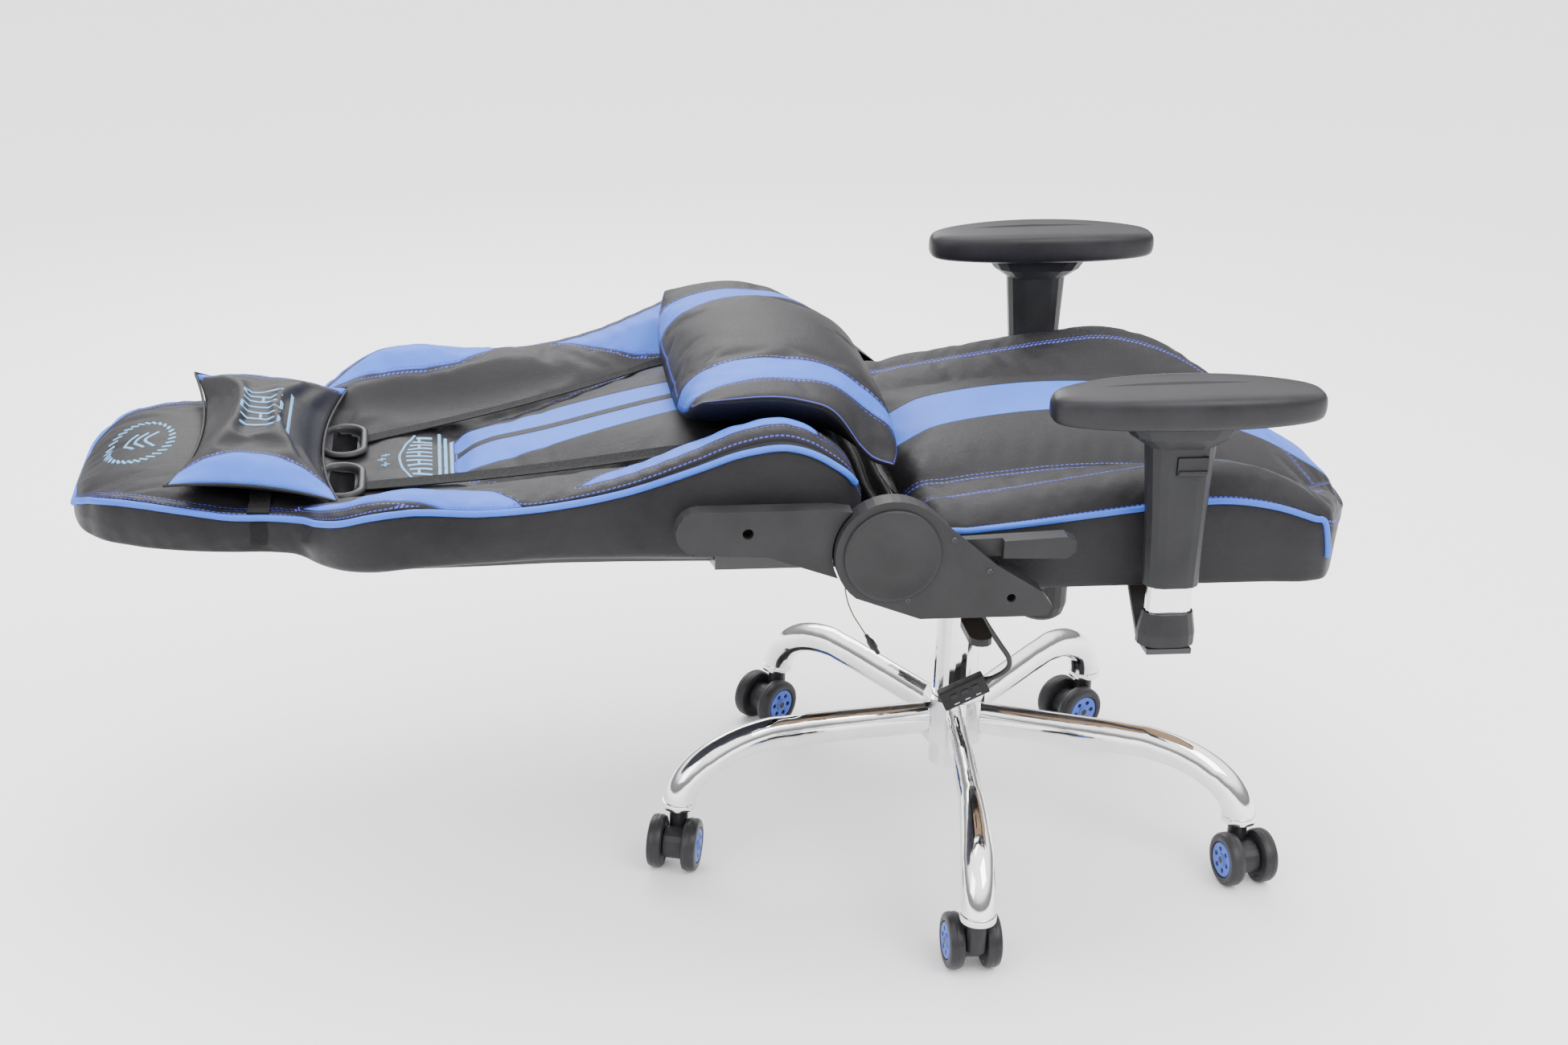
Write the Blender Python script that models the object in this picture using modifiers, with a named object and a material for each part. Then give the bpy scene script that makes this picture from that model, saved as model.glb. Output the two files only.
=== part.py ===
"""Reclining gaming chair, laid flat: five-star base on castors, gas lift, rocking mechanism, seat, recliner
hinges, back, pillows and height-adjustable arms. Metres, +Z up, the seat faces -Y and the sitter's left is +X.
The chair is drawn with the gas lift's axis at X = Y = 0 and the floor at Z = 0, and one parent empty then
centres it in Y."""

import math

import bmesh
import bpy
from mathutils import Matrix, Vector

GAP = 0.0003            # between pieces that touch
SLIP = 0.0004           # round a shaft that turns or slides
SIDES = (("right", -1), ("left", 1))

# Castors
WHEEL_RADIUS = 0.030
WHEEL_WIDTH = 0.0165
WHEEL_FACETS = 16
FORK_WIDTH = 0.021      # of the barrel between the two wheels
FORK_RADIUS = 0.018
TRAIL = 0.020           # from the swivel's axis to the axle
AXLE_RADIUS = 0.004
STEM_RADIUS = 0.0055
STEM_IN_LEG = 0.020
NECK_RADIUS = 0.0105
CASTOR_HEADING = (1, 162, 190, 129, 116)        # degrees from +X, towards each axle

# Base
LEG_ANGLE = (173.3, 101.3, 245.3, 29.3, -42.7)  # degrees from +X
LEG_REACH = 0.325       # to the castor's swivel axis
LEG_RIM = 2 * WHEEL_RADIUS + 0.006              # height of the legs' ends
LEG_END_RADIUS = 0.0185
LEG_ROOT_WIDTH = 0.024
LEG_ROOT_HEIGHT = 0.038
HUB_APOTHEM = 0.033
HUB_BOTTOM = LEG_RIM + 0.046
HUB_HEIGHT = 0.054
HUB_TOP = HUB_BOTTOM + HUB_HEIGHT

# Gas lift
TUBE_RADIUS = 0.025
TUBE_BELOW_HUB = 0.031
TUBE_ABOVE_HUB = 0.119
PISTON_RADIUS = 0.014
TUBE_TOP = HUB_TOP + TUBE_ABOVE_HUB

# Mechanism
HOUSING_BOTTOM = TUBE_TOP + 0.030
HOUSING_HEIGHT = 0.077
HOUSING_HALF_WIDTH = 0.075
HOUSING_FRONT = -0.122
HOUSING_REAR = 0.085
TILT_Y = -0.090         # the rocking pivot
TILT_Z = HOUSING_BOTTOM + 0.060
TILT_PIN_RADIUS = 0.005
TILT_RANGE = 12         # degrees that the seat rocks back
KNOB_RADIUS = 0.029
KNOB_HEIGHT = 0.052
KNOB_FACETS = 20
LEVER_RADIUS = 0.004
LEVER_Y = 0.030
LEVER_LENGTH = 0.135
BOLT_Y = -0.030
BOLT_RADIUS = 0.004

# Seat
SEAT_HALF_WIDTH = 0.262
SEAT_DEPTH = 0.500
SEAT_FRONT = -0.394
PAN_THICKNESS = 0.012
PAN_INSET = 0.012         # of the pan's edge inside the cushion's
PLATE_THICKNESS = 0.004
PLATE_HALF_WIDTH = 0.110
PAN_BOTTOM = HOUSING_BOTTOM + HOUSING_HEIGHT + PLATE_THICKNESS + 0.009
PAN_TOP = PAN_BOTTOM + PAN_THICKNESS
SEAT_REAR = SEAT_FRONT + SEAT_DEPTH
SEAT_CROWN = 0.094      # of the middle of the cushion above the pan
BOLSTER_CROWN = 0.105

# Recliner
HINGE_Y = SEAT_REAR + 0.036
HINGE_Z = PAN_BOTTOM + 0.060
COVER_RADIUS = 0.056
COVER_THICKNESS = 0.022
COVER_WALL = 0.0022
RECLINER_RADIUS = 0.045
STEEL = 0.006
LAYER_GAP = 0.0015
HINGE_PIN_RADIUS = 0.008
BACK_PLATE_INNER = SEAT_HALF_WIDTH + 0.004
RECLINER_INNER = BACK_PLATE_INNER + STEEL + LAYER_GAP
COVER_INNER = RECLINER_INNER + STEEL + LAYER_GAP
COVER_OUTER = COVER_INNER + COVER_THICKNESS
BACK_COVER_INNER = BACK_PLATE_INNER + STEEL + 0.001
BACK_COVER_THICKNESS = 0.020
BACK_COVER_LENGTH = 0.206       # from the hinge
COVER_FRONT = HINGE_Y - 0.161
LEVER_PIVOT = (HINGE_Y - 0.067, HINGE_Z + 0.001)
LEVER_REACH = 0.114

# Back
BACK_LENGTH = 0.820     # from the hinge to the head's end
BACK_HALF_WIDTH = SEAT_HALF_WIDTH
BACK_START = HINGE_Y + 0.018
HEAD_END = HINGE_Y + BACK_LENGTH
FRAME_BOTTOM = HINGE_Z - 0.043
FRAME_THICKNESS = 0.008
FRAME_TOP = FRAME_BOTTOM + FRAME_THICKNESS
FRAME_WIDTH = 0.78      # share of the back's width
STRAP_HOLE_X = 0.060
STRAP_HOLE_Y = HINGE_Y + 0.538
STRAP_HOLE_SIZE = (0.084, 0.038)

# Arms
ARM_X = SEAT_HALF_WIDTH + 0.027
ARM_Y = -0.138
ARM_TUBE = (0.024, 0.046)       # across X and Y
ARM_TUBE_WALL = 0.0018
ARM_BAR = 0.006
ARM_BAR_WIDTH = 0.045
ARM_FOOT = PAN_BOTTOM - 0.046   # top of the bar under the tube
BOOT_HEIGHT = 0.034
SLEEVE_BOTTOM = ARM_FOOT + 0.064
SLEEVE_HEIGHT = 0.170
PAD_LENGTH = 0.266
PAD_WIDTH = 0.088
PAD_THICKNESS = 0.030
PAD_TAPER = 0.40            # how much narrower its ends are
PAD_BOTTOM = SLEEVE_BOTTOM + SLEEVE_HEIGHT + GAP
ARM_DOWN = 0.026
BUTTON_TRAVEL = 0.003

# Pillows
HEAD_PILLOW_HALF_LENGTH = 0.165
HEAD_PILLOW_Y = HINGE_Y + 0.621
HEAD_PILLOW_SLOPE = 0.126
LUMBAR_HALF_LENGTH = 0.186
LUMBAR_PILLOW_Y = HINGE_Y + 0.096
LUMBAR_THICKNESS = 0.074

# Cords, in the mechanism's frame before the chair is centred
WIRE_RADIUS = 0.0009
CABLE_RADIUS = 0.003
WIRE_ROUTE = (
    (0.046, HOUSING_REAR + 2 * GAP, HOUSING_BOTTOM + 0.012),
    (0.046, HOUSING_REAR + 0.012, HOUSING_BOTTOM + 0.012),
    (0.060, 0.1130, HOUSING_BOTTOM - 0.004),
    (0.070, 0.1180, HOUSING_BOTTOM - 0.030),
    (0.077, 0.1150, HOUSING_BOTTOM - 0.058),
    (0.080, 0.1070, HOUSING_BOTTOM - 0.082),
    (0.081, 0.0960, HOUSING_BOTTOM - 0.101),
    (0.081, 0.0890, HOUSING_BOTTOM - 0.112),
)
CABLE_ROUTE = (
    (-0.045, -0.002, HOUSING_BOTTOM - 2 * GAP),
    (-0.045, -0.002, HOUSING_BOTTOM - 0.012),
    (-0.045, -0.020, HOUSING_BOTTOM - 0.044),
    (-0.046, -0.037, HOUSING_BOTTOM - 0.070),
    (-0.047, -0.047, HOUSING_BOTTOM - 0.085),
    (-0.047, -0.048, HOUSING_BOTTOM - 0.0965),
    (-0.046, -0.040, HOUSING_BOTTOM - 0.1055),
    (-0.046, -0.024, HOUSING_BOTTOM - 0.1135),
)
BOX_SIZE = (0.014, 0.056, 0.024)
PLUG_LENGTH = 0.030
PLUG_RADIUS = 0.0045

FINISHES = {
    "chrome": ((0.80, 0.79, 0.78, 1), 0.08, 1.0),
    "steel": ((0.42, 0.42, 0.43, 1), 0.35, 1.0),
    "black_steel": ((0.03, 0.03, 0.032, 1), 0.40, 0.4),
    "black_plastic": ((0.045, 0.044, 0.046, 1), 0.50, 0.0),
    "black_leather": ((0.030, 0.029, 0.031, 1), 0.45, 0.0),
    "blue_leather": ((0.10, 0.24, 0.72, 1), 0.45, 0.0),
    "black_rubber": ((0.02, 0.02, 0.02, 1), 0.70, 0.0),
    "plywood": ((0.35, 0.24, 0.14, 1), 0.70, 0.0),
}
COLLECTION = "gaming_chair"


def clear_scene():
    for obj in list(bpy.data.objects):
        bpy.data.objects.remove(obj, do_unlink=True)


def collection(name):
    made = bpy.data.collections.new(name)
    bpy.context.scene.collection.children.link(made)
    return made


def finish_of(name):
    found = bpy.data.materials.get(name)
    if found:
        return found
    colour, roughness, metallic = FINISHES[name]
    made = bpy.data.materials.new(name)
    made.use_nodes = True
    shader = made.node_tree.nodes["Principled BSDF"]
    shader.inputs["Base Color"].default_value = colour
    shader.inputs["Roughness"].default_value = roughness
    shader.inputs["Metallic"].default_value = metallic
    return made


# Bodies: each is an empty on its joint's axis, and its pieces are children of it

bodies = {}


def body(name, pivot, parent=None):
    empty = bpy.data.objects.new("body_" + name, None)
    parts.objects.link(empty)
    bodies[name] = (empty, Vector(pivot))
    if parent:
        empty.parent = bodies[parent][0]
        empty.location = Vector(pivot) - bodies[parent][1]
    return empty


def add(obj, name, body_name, finish, origin=None):
    """Names a piece drawn in the chair's frame and hangs it on its body, with its origin on the joint's axis."""
    empty, pivot = bodies[body_name]
    origin = Vector(origin) if origin else pivot
    obj.name = name
    obj.data.transform(Matrix.Translation(-origin))
    obj.parent = empty
    obj.location = origin - pivot
    obj.data.materials.clear()
    obj.data.materials.append(finish_of(finish))
    for user in list(obj.users_collection):
        user.objects.unlink(obj)
    parts.objects.link(obj)
    obj.data.shade_smooth()
    obj.data.set_sharp_from_angle(angle=math.radians(40))
    for modifier in obj.modifiers:
        tool = modifier.object
        tool.data.transform(Matrix.Translation(-origin))
        tool.parent = empty
        tool.location = obj.location
    return obj


# Shapes, all drawn in the chair's frame


def from_bmesh(bm, name="piece"):
    bmesh.ops.recalc_face_normals(bm, faces=bm.faces)
    mesh = bpy.data.meshes.new(name)
    bm.to_mesh(mesh)
    bm.free()
    obj = bpy.data.objects.new(name, mesh)
    bpy.context.scene.collection.objects.link(obj)
    return obj


def box(low, high):
    bm = bmesh.new()
    size = [b - a for a, b in zip(low, high)]
    middle = [(a + b) / 2 for a, b in zip(low, high)]
    bmesh.ops.create_cube(bm, size=1, matrix=Matrix.LocRotScale(middle, None, size))
    return from_bmesh(bm)


def rod(start, end, radius, facets=16, end_radius=None):
    start, end = Vector(start), Vector(end)
    along = end - start
    turn = Vector((0, 0, 1)).rotation_difference(along)
    bm = bmesh.new()
    bmesh.ops.create_cone(
        bm,
        cap_ends=True,
        segments=facets,
        radius1=radius,
        radius2=radius if end_radius is None else end_radius,
        depth=along.length,
        matrix=Matrix.LocRotScale((start + end) / 2, turn, None),
    )
    return from_bmesh(bm)


def loft(sections):
    """A closed form through sections of equal point counts, with flat ends."""
    bm = bmesh.new()
    rings = [[bm.verts.new(point) for point in section] for section in sections]
    for ring, following in zip(rings, rings[1:]):
        for i in range(len(ring)):
            j = (i + 1) % len(ring)
            bm.faces.new((ring[i], ring[j], following[j], following[i]))
    bm.faces.new(rings[0])
    bm.faces.new(rings[-1])
    return from_bmesh(bm)


def circle(centre, radius, count):
    step = 2 * math.pi / count
    x, y = centre
    return [(x + radius * math.cos(i * step), y + radius * math.sin(i * step)) for i in range(count)]


def arc(centre, radius, start, end, count):
    """Points on an arc, with its angles in degrees."""
    angles = [math.radians(start + (end - start) * i / (count - 1)) for i in range(count)]
    return [(centre[0] + radius * math.cos(a), centre[1] + radius * math.sin(a)) for a in angles]


def stadium(half_length, half_width, count):
    """A strip with round ends, longest along its first axis."""
    straight = half_length - half_width
    return arc((straight, 0), half_width, -90, 90, count) + arc((-straight, 0), half_width, 90, 270, count)


PLANES = {
    "XY": Matrix.Identity(4),
    "YZ": Matrix(((0, 0, 1, 0), (1, 0, 0, 0), (0, 1, 0, 0), (0, 0, 0, 1))),
    "XZ": Matrix(((1, 0, 0, 0), (0, 0, 1, 0), (0, 1, 0, 0), (0, 0, 0, 1))),
}


def plate(plane, low, high, outline, holes=()):
    """A flat outline with holes, extruded from low to high across its plane."""
    curve = bpy.data.curves.new("outline", "CURVE")
    curve.dimensions = "2D"
    curve.fill_mode = "BOTH"
    curve.extrude = abs(high - low) / 2
    for points in (outline, *holes):
        spline = curve.splines.new("POLY")
        spline.points.add(len(points) - 1)
        for place, (u, v) in zip(spline.points, points):
            place.co = (u, v, 0, 1)
        spline.use_cyclic_u = True
    return from_curve(curve, PLANES[plane] @ Matrix.Translation((0, 0, (low + high) / 2)))


def from_curve(curve, matrix=Matrix.Identity(4)):
    """The closed mesh of a curve, with its loose caps welded on."""
    guide = bpy.data.objects.new("guide", curve)
    bpy.context.scene.collection.objects.link(guide)
    graph = bpy.context.evaluated_depsgraph_get()
    mesh = bpy.data.meshes.new_from_object(guide.evaluated_get(graph))
    bpy.data.objects.remove(guide)
    bpy.data.curves.remove(curve)
    bm = bmesh.new()
    bm.from_mesh(mesh)
    bpy.data.meshes.remove(mesh)
    bmesh.ops.remove_doubles(bm, verts=bm.verts, dist=1e-6)
    bmesh.ops.transform(bm, matrix=matrix, verts=bm.verts)
    return from_bmesh(bm)


def turned(profile, facets, axis_matrix):
    """A ring: a closed profile of (radius, height) points turned about Z, then placed."""
    bm = bmesh.new()
    corners = [bm.verts.new((radius, 0, height)) for radius, height in profile]
    for i, corner in enumerate(corners):
        bm.edges.new((corner, corners[(i + 1) % len(corners)]))
    obj = from_bmesh(bm)
    screw = obj.modifiers.new("turn", "SCREW")
    screw.steps = screw.render_steps = facets
    screw.use_merge_vertices = True
    screw.merge_threshold = 1e-5
    frozen = freeze(obj)
    frozen.data.transform(axis_matrix)
    return frozen


def freeze(obj):
    """The piece with its modifiers applied and its tools removed."""
    graph = bpy.context.evaluated_depsgraph_get()
    mesh = bpy.data.meshes.new_from_object(obj.evaluated_get(graph))
    tools = [modifier.object for modifier in obj.modifiers if modifier.type == "BOOLEAN"]
    for old in (obj, *tools):
        bpy.data.objects.remove(old, do_unlink=True)
    made = bpy.data.objects.new("piece", mesh)
    bpy.context.scene.collection.objects.link(made)
    return made


def combine(obj, operation, tools):
    for tool in tools:
        for user in list(tool.users_collection):
            user.objects.unlink(tool)
        cutters.objects.link(tool)
        tool.hide_render = True
        tool.display_type = "WIRE"
        modifier = obj.modifiers.new(operation.lower(), "BOOLEAN")
        modifier.operation = operation
        modifier.object = tool
    return obj


def cut(obj, *tools):
    return combine(obj, "DIFFERENCE", tools)


def join(obj, *tools):
    return combine(obj, "UNION", tools)


def across(side, inner, outer):
    """The X range of a piece between two distances from the middle, on one side."""
    return sorted((side * inner, side * outer))


# Base and castors


def base():
    decagon = circle((0, 0), HUB_APOTHEM / math.cos(math.pi / 10), 10)
    turn = math.radians(LEG_ANGLE[0] + 18)
    c, s = math.cos(turn), math.sin(turn)
    decagon = [(x * c - y * s, x * s + y * c) for x, y in decagon]
    hub = plate("XY", HUB_BOTTOM, HUB_TOP, decagon, [circle((0, 0), TUBE_RADIUS + GAP, 24)])
    add(hub, "base_hub", "base", "chrome")
    bore = circle((0, 0), PISTON_RADIUS + SLIP, 24)
    tube = plate("XY", HUB_BOTTOM - TUBE_BELOW_HUB, TUBE_TOP, circle((0, 0), TUBE_RADIUS - GAP, 24), [bore])
    add(tube, "gas_lift_tube", "base", "chrome")
    leg = leg_shape()
    fork = fork_shape()
    wheel = wheel_shape()
    for number, (angle, heading) in enumerate(zip(LEG_ANGLE, CASTOR_HEADING), 1):
        a = math.radians(angle)
        copy = bpy.data.objects.new("leg", leg.data.copy())
        copy.data.transform(Matrix.Rotation(a, 4, "Z"))
        add(copy, f"base_leg_{number}", "base", "chrome")
        castor(number, (LEG_REACH * math.cos(a), LEG_REACH * math.sin(a)), math.radians(heading), fork, wheel)
    for shape in (leg, fork, wheel):
        bpy.data.objects.remove(shape)


def leg_shape():
    """One oval tube along +X: level from the hub, then curving down to its open end over the castor."""
    start = HUB_APOTHEM + GAP
    middle = HUB_BOTTOM + HUB_HEIGHT / 2
    bend = LEG_REACH - 0.125
    drop = middle + 0.004 - LEG_RIM
    spine = [(start, middle, 0), (start + 0.06, middle + 0.003, 0), (bend, middle + 0.003, 4)]
    for step in range(1, 8):
        a = math.pi / 2 * step / 7
        spine.append((bend + (LEG_REACH - bend) * math.sin(a), LEG_RIM + drop * math.cos(a), 90 * step / 7))
    sections = []
    for step, (x, z, slope) in enumerate(spine):
        share = step / (len(spine) - 1)
        half_height = LEG_ROOT_HEIGHT / 2 * (1 - share) + LEG_END_RADIUS * share
        half_width = LEG_ROOT_WIDTH / 2 + (LEG_END_RADIUS - LEG_ROOT_WIDTH / 2) * min(1, share * 2)
        lean = math.radians(slope)
        ring = []
        for across_leg, up in circle((0, 0), 1, 12):
            rise = up * half_height
            ring.append((x + rise * math.sin(lean), across_leg * half_width, z + rise * math.cos(lean)))
        sections.append(ring)
    socket = rod((LEG_REACH, 0, LEG_RIM - 0.01), (LEG_REACH, 0, LEG_RIM + STEM_IN_LEG + 0.002), STEM_RADIUS + SLIP)
    return freeze(cut(loft(sections), socket))


def fork_shape():
    """Swivel stem, neck and barrel, with the axle along Y at X = TRAIL and the swivel's axis at X = 0."""
    half = FORK_WIDTH / 2
    axle_end = half + GAP * 2 + WHEEL_WIDTH + 0.001
    barrel = rod((TRAIL, -half, WHEEL_RADIUS), (TRAIL, half, WHEEL_RADIUS), FORK_RADIUS, 18)
    neck = rod((0, 0, WHEEL_RADIUS), (0, 0, LEG_RIM - GAP), NECK_RADIUS)
    stem = rod((0, 0, WHEEL_RADIUS + 0.01), (0, 0, LEG_RIM + STEM_IN_LEG), STEM_RADIUS)
    axle = rod((TRAIL, -axle_end, WHEEL_RADIUS), (TRAIL, axle_end, WHEEL_RADIUS), AXLE_RADIUS, 12)
    return freeze(join(barrel, neck, stem, axle))


def wheel_shape():
    """One wheel about its own Y axis, its centre at the origin, with a flat facet downwards."""
    half = WHEEL_WIDTH / 2
    corner = WHEEL_RADIUS / math.cos(math.pi / WHEEL_FACETS)
    hole = (AXLE_RADIUS + SLIP) / math.cos(math.pi / WHEEL_FACETS)
    profile = (
        (hole, half),
        (corner - 0.005, half),
        (corner, half - 0.004),
        (corner, 0.004 - half),
        (corner - 0.005, -half),
        (hole, -half),
    )
    facet_down = Matrix.Rotation(math.pi / 2, 4, "X") @ Matrix.Rotation(math.pi / WHEEL_FACETS, 4, "Z")
    return turned(profile, WHEEL_FACETS, facet_down)


def castor(number, swivel, heading, fork, wheel):
    at = Matrix.Translation((*swivel, 0)) @ Matrix.Rotation(heading, 4, "Z")
    body(f"castor_{number}", (*swivel, LEG_RIM), "base")
    copy = bpy.data.objects.new("fork", fork.data.copy())
    copy.data.transform(at)
    add(copy, f"caster_fork_{number}", f"castor_{number}", "black_plastic")
    offset = FORK_WIDTH / 2 + GAP * 2 + WHEEL_WIDTH / 2
    for side, sign in SIDES:
        centre = at @ Vector((TRAIL, sign * offset, WHEEL_RADIUS))
        roll = body(f"wheel_{side}_{number}", centre, f"castor_{number}")
        copy = bpy.data.objects.new("wheel", wheel.data.copy())
        copy.data.transform(Matrix.Translation(centre) @ Matrix.Rotation(heading, 4, "Z"))
        add(copy, f"caster_wheel_{side}_{number}", roll.name.removeprefix("body_"), "black_rubber")


# Lift and mechanism


def mechanism():
    top = HOUSING_BOTTOM + HOUSING_HEIGHT
    fall = math.tan(math.radians(TILT_RANGE + 1.5)) * (HOUSING_REAR - TILT_Y - 0.015)
    piston_top = HOUSING_BOTTOM + 0.046
    piston = rod((0, 0, HUB_BOTTOM), (0, 0, piston_top), PISTON_RADIUS, 24)
    add(piston, "gas_lift_piston", "lift", "steel")
    side_view = [
        (HOUSING_FRONT, TILT_Z - 0.026),
        (HOUSING_FRONT + 0.068, HOUSING_BOTTOM),
        (HOUSING_REAR, HOUSING_BOTTOM),
        (HOUSING_REAR, top - fall),
        (TILT_Y + 0.015, top),
        (HOUSING_FRONT, top),
    ]
    half = HOUSING_HALF_WIDTH
    housing = plate("YZ", -half, half, side_view, [circle((TILT_Y, TILT_Z), TILT_PIN_RADIUS + GAP, 16)])
    cone = rod((0, 0, HOUSING_BOTTOM - 0.01), (0, 0, piston_top + GAP), PISTON_RADIUS + SLIP, 24)
    knob_stem = rod((0, TILT_Y, 0), (0, TILT_Y, TILT_Z - 0.012), 0.006 + SLIP)
    lever_start, lever_end = (-half - 0.01, LEVER_Y, lever_z()), (-half + 0.022, LEVER_Y, lever_z())
    lever_bore = rod(lever_start, lever_end, LEVER_RADIUS + 0.003)
    bolt_bore = rod((half + 0.01, BOLT_Y, bolt_z()), (half - 0.042, BOLT_Y, bolt_z()), BOLT_RADIUS + SLIP)
    cut(housing, cone, knob_stem, lever_bore, bolt_bore)
    add(housing, "mechanism_housing", "mechanism", "black_steel")
    pin_end = half + GAP + PLATE_THICKNESS + 0.004
    pin = rod((-pin_end, TILT_Y, TILT_Z), (pin_end, TILT_Y, TILT_Z), TILT_PIN_RADIUS)
    add(pin, "tilt_pivot_pin", "mechanism", "steel")
    tension_knob()
    height_lever()
    bolt = rod((half - 0.026, BOLT_Y, bolt_z()), (half + 0.030, BOLT_Y, bolt_z()), BOLT_RADIUS)
    join(bolt, rod((half + 0.022, BOLT_Y, bolt_z()), (half + 0.036, BOLT_Y, bolt_z()), 0.009))
    add(bolt, "tilt_lock_bolt", "lock_bolt", "steel")


def lever_z():
    return HOUSING_BOTTOM + 0.020


def bolt_z():
    return HOUSING_BOTTOM + 0.036


def tension_knob():
    knob_top = HOUSING_BOTTOM - 0.002
    levels = ((0, 0.90), (0.10, 1.0), (0.68, 1.0), (0.90, 0.88), (1.0, 0.66))
    rings = []
    for share, size in levels:
        ring = circle((0, TILT_Y), KNOB_RADIUS * size, KNOB_FACETS)
        rings.append([(x, y, knob_top - KNOB_HEIGHT * share) for x, y in ring])
    stem = rod((0, TILT_Y, knob_top - 0.01), (0, TILT_Y, TILT_Z - 0.014), 0.006)
    add(join(loft(rings), stem), "tension_knob", "tension_knob", "black_plastic")


def height_lever():
    """A bar that pivots just inside the housing's wall, with a flat paddle under the seat's right side."""
    pivot = -HOUSING_HALF_WIDTH + 0.010
    end = pivot - LEVER_LENGTH
    bar = rod((pivot, LEVER_Y, lever_z()), (end + 0.02, LEVER_Y, lever_z()), LEVER_RADIUS, 12)
    outline = [(x + end, y + LEVER_Y) for x, y in stadium(0.032, 0.012, 7)]
    paddle = plate("XY", lever_z() - 0.004, lever_z() + 0.004, outline)
    add(join(bar, paddle), "height_lever", "height_lever", "black_plastic")


# Seat


def seat():
    plate_bottom = PAN_BOTTOM - GAP - PLATE_THICKNESS
    front, rear = TILT_Y - 0.080, 0.110
    top = box((-PLATE_HALF_WIDTH, front, plate_bottom), (PLATE_HALF_WIDTH, rear, PAN_BOTTOM - GAP))
    ears = []
    for _, side in SIDES:
        lobe = arc((TILT_Y, TILT_Z), 0.014, 180, 360, 9)
        ear = [(TILT_Y - 0.020, plate_bottom + 0.002), *lobe, (TILT_Y + 0.020, plate_bottom + 0.002)]
        low, high = across(side, HOUSING_HALF_WIDTH + GAP * 2, HOUSING_HALF_WIDTH + GAP * 2 + PLATE_THICKNESS)
        hole = circle((TILT_Y, TILT_Z), TILT_PIN_RADIUS + SLIP, 16)
        ears.append(plate("YZ", low, high, ear, [hole]))
    add(join(top, *ears), "seat_plate", "seat", "black_steel")
    edge = [(SEAT_HALF_WIDTH - PAN_INSET, SEAT_REAR - 0.006)]
    for along, _, _, width in SEAT_STATIONS[8:2:-1]:
        edge.append((SEAT_HALF_WIDTH * width - PAN_INSET, SEAT_FRONT + SEAT_DEPTH * along))
    edge += [(-x, y) for x, y in reversed(edge)]
    add(plate("XY", PAN_BOTTOM, PAN_TOP, edge), "seat_pan", "seat", "plywood")
    add(seat_cushion_shape(), "seat_cushion", "seat", "black_leather")


# Share of the depth from the front, then the shares of the crown that the middle and the bolsters reach, and
# the share of the width
SEAT_STATIONS = (
    (0.000, 0.06, 0.03, 0.14),
    (0.012, 0.15, 0.06, 0.30),
    (0.038, 0.24, 0.12, 0.43),
    (0.068, 0.31, 0.25, 0.56),
    (0.098, 0.38, 0.38, 0.69),
    (0.128, 0.46, 0.50, 0.82),
    (0.152, 0.53, 0.57, 0.92),
    (0.170, 0.58, 0.62, 0.975),
    (0.198, 0.65, 0.70, 1.0),
    (0.290, 0.82, 0.90, 1.0),
    (0.380, 0.93, 1.00, 1.0),
    (0.520, 1.00, 0.96, 1.0),
    (0.650, 1.00, 0.87, 1.0),
    (0.780, 0.93, 0.77, 1.0),
    (0.900, 0.82, 0.67, 0.985),
    (0.975, 0.68, 0.57, 0.95),
    (1.000, 0.44, 0.38, 0.90),
)
# Share of the half width, then how much of the bolster's and of the middle's height each point takes
SEAT_SECTION = (
    (0.00, 0.0, 1.00),
    (0.32, 0.0, 0.985),
    (0.55, 0.0, 0.93),
    (0.66, 0.40, 0.47),
    (0.74, 0.90, 0.0),
    (0.83, 1.00, 0.0),
    (0.92, 0.94, 0.0),
    (0.99, 0.70, 0.0),
    (1.00, 0.35, 0.0),
    (0.985, 0.0, 0.0),
)


def seat_cushion_shape():
    sections = []
    for along, middle, bolster, width in SEAT_STATIONS:
        y = SEAT_FRONT + SEAT_DEPTH * along
        half = []
        for share, of_bolster, of_middle in SEAT_SECTION:
            rise = of_bolster * bolster * BOLSTER_CROWN + of_middle * middle * SEAT_CROWN
            half.append((share * width * SEAT_HALF_WIDTH, y, PAN_TOP + GAP + rise))
        sections.append(mirrored_ring(half))
    return loft(sections)


def mirrored_ring(half):
    """A whole section from its +X half, which starts on the middle plane."""
    return half + [(-x, y, z) for x, y, z in reversed(half[1:])]


# Recliner hinges


def recliner(name, side):
    inner, outer = RECLINER_INNER, RECLINER_INNER + STEEL
    low, high = across(side, inner, outer)
    centre = (HINGE_Y, HINGE_Z)
    lower = PAN_BOTTOM - 0.002
    outline = arc(centre, RECLINER_RADIUS, -60, 120, 13) + [
        (COVER_FRONT + 0.046, PAN_BOTTOM + 0.016),
        (COVER_FRONT + 0.020, lower),
        (HINGE_Y - 0.020, lower),
    ]
    steel = plate("YZ", low, high, outline)
    pin_start = (side * (BACK_PLATE_INNER - 0.0015), *centre)
    tools = [rod(pin_start, (side * (inner + 0.001), *centre), HINGE_PIN_RADIUS)]
    bolt_height = (PAN_BOTTOM + PAN_TOP) / 2
    for y in (COVER_FRONT + 0.040, HINGE_Y - 0.055):
        start = (side * (SEAT_HALF_WIDTH - PAN_INSET + GAP), y, bolt_height)
        tools.append(rod(start, (side * (inner + 0.001), y, bolt_height), 0.004, 12))
    if side < 0:
        stub_start = (side * (outer - 0.001), *LEVER_PIVOT)
        tools.append(rod(stub_start, (side * (COVER_OUTER - 0.010), *LEVER_PIVOT), 0.004))
    add(join(steel, *tools), f"recliner_plate_{name}", "seat", "steel")
    side_cover(name, side)
    back_plate(name, side)


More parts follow.
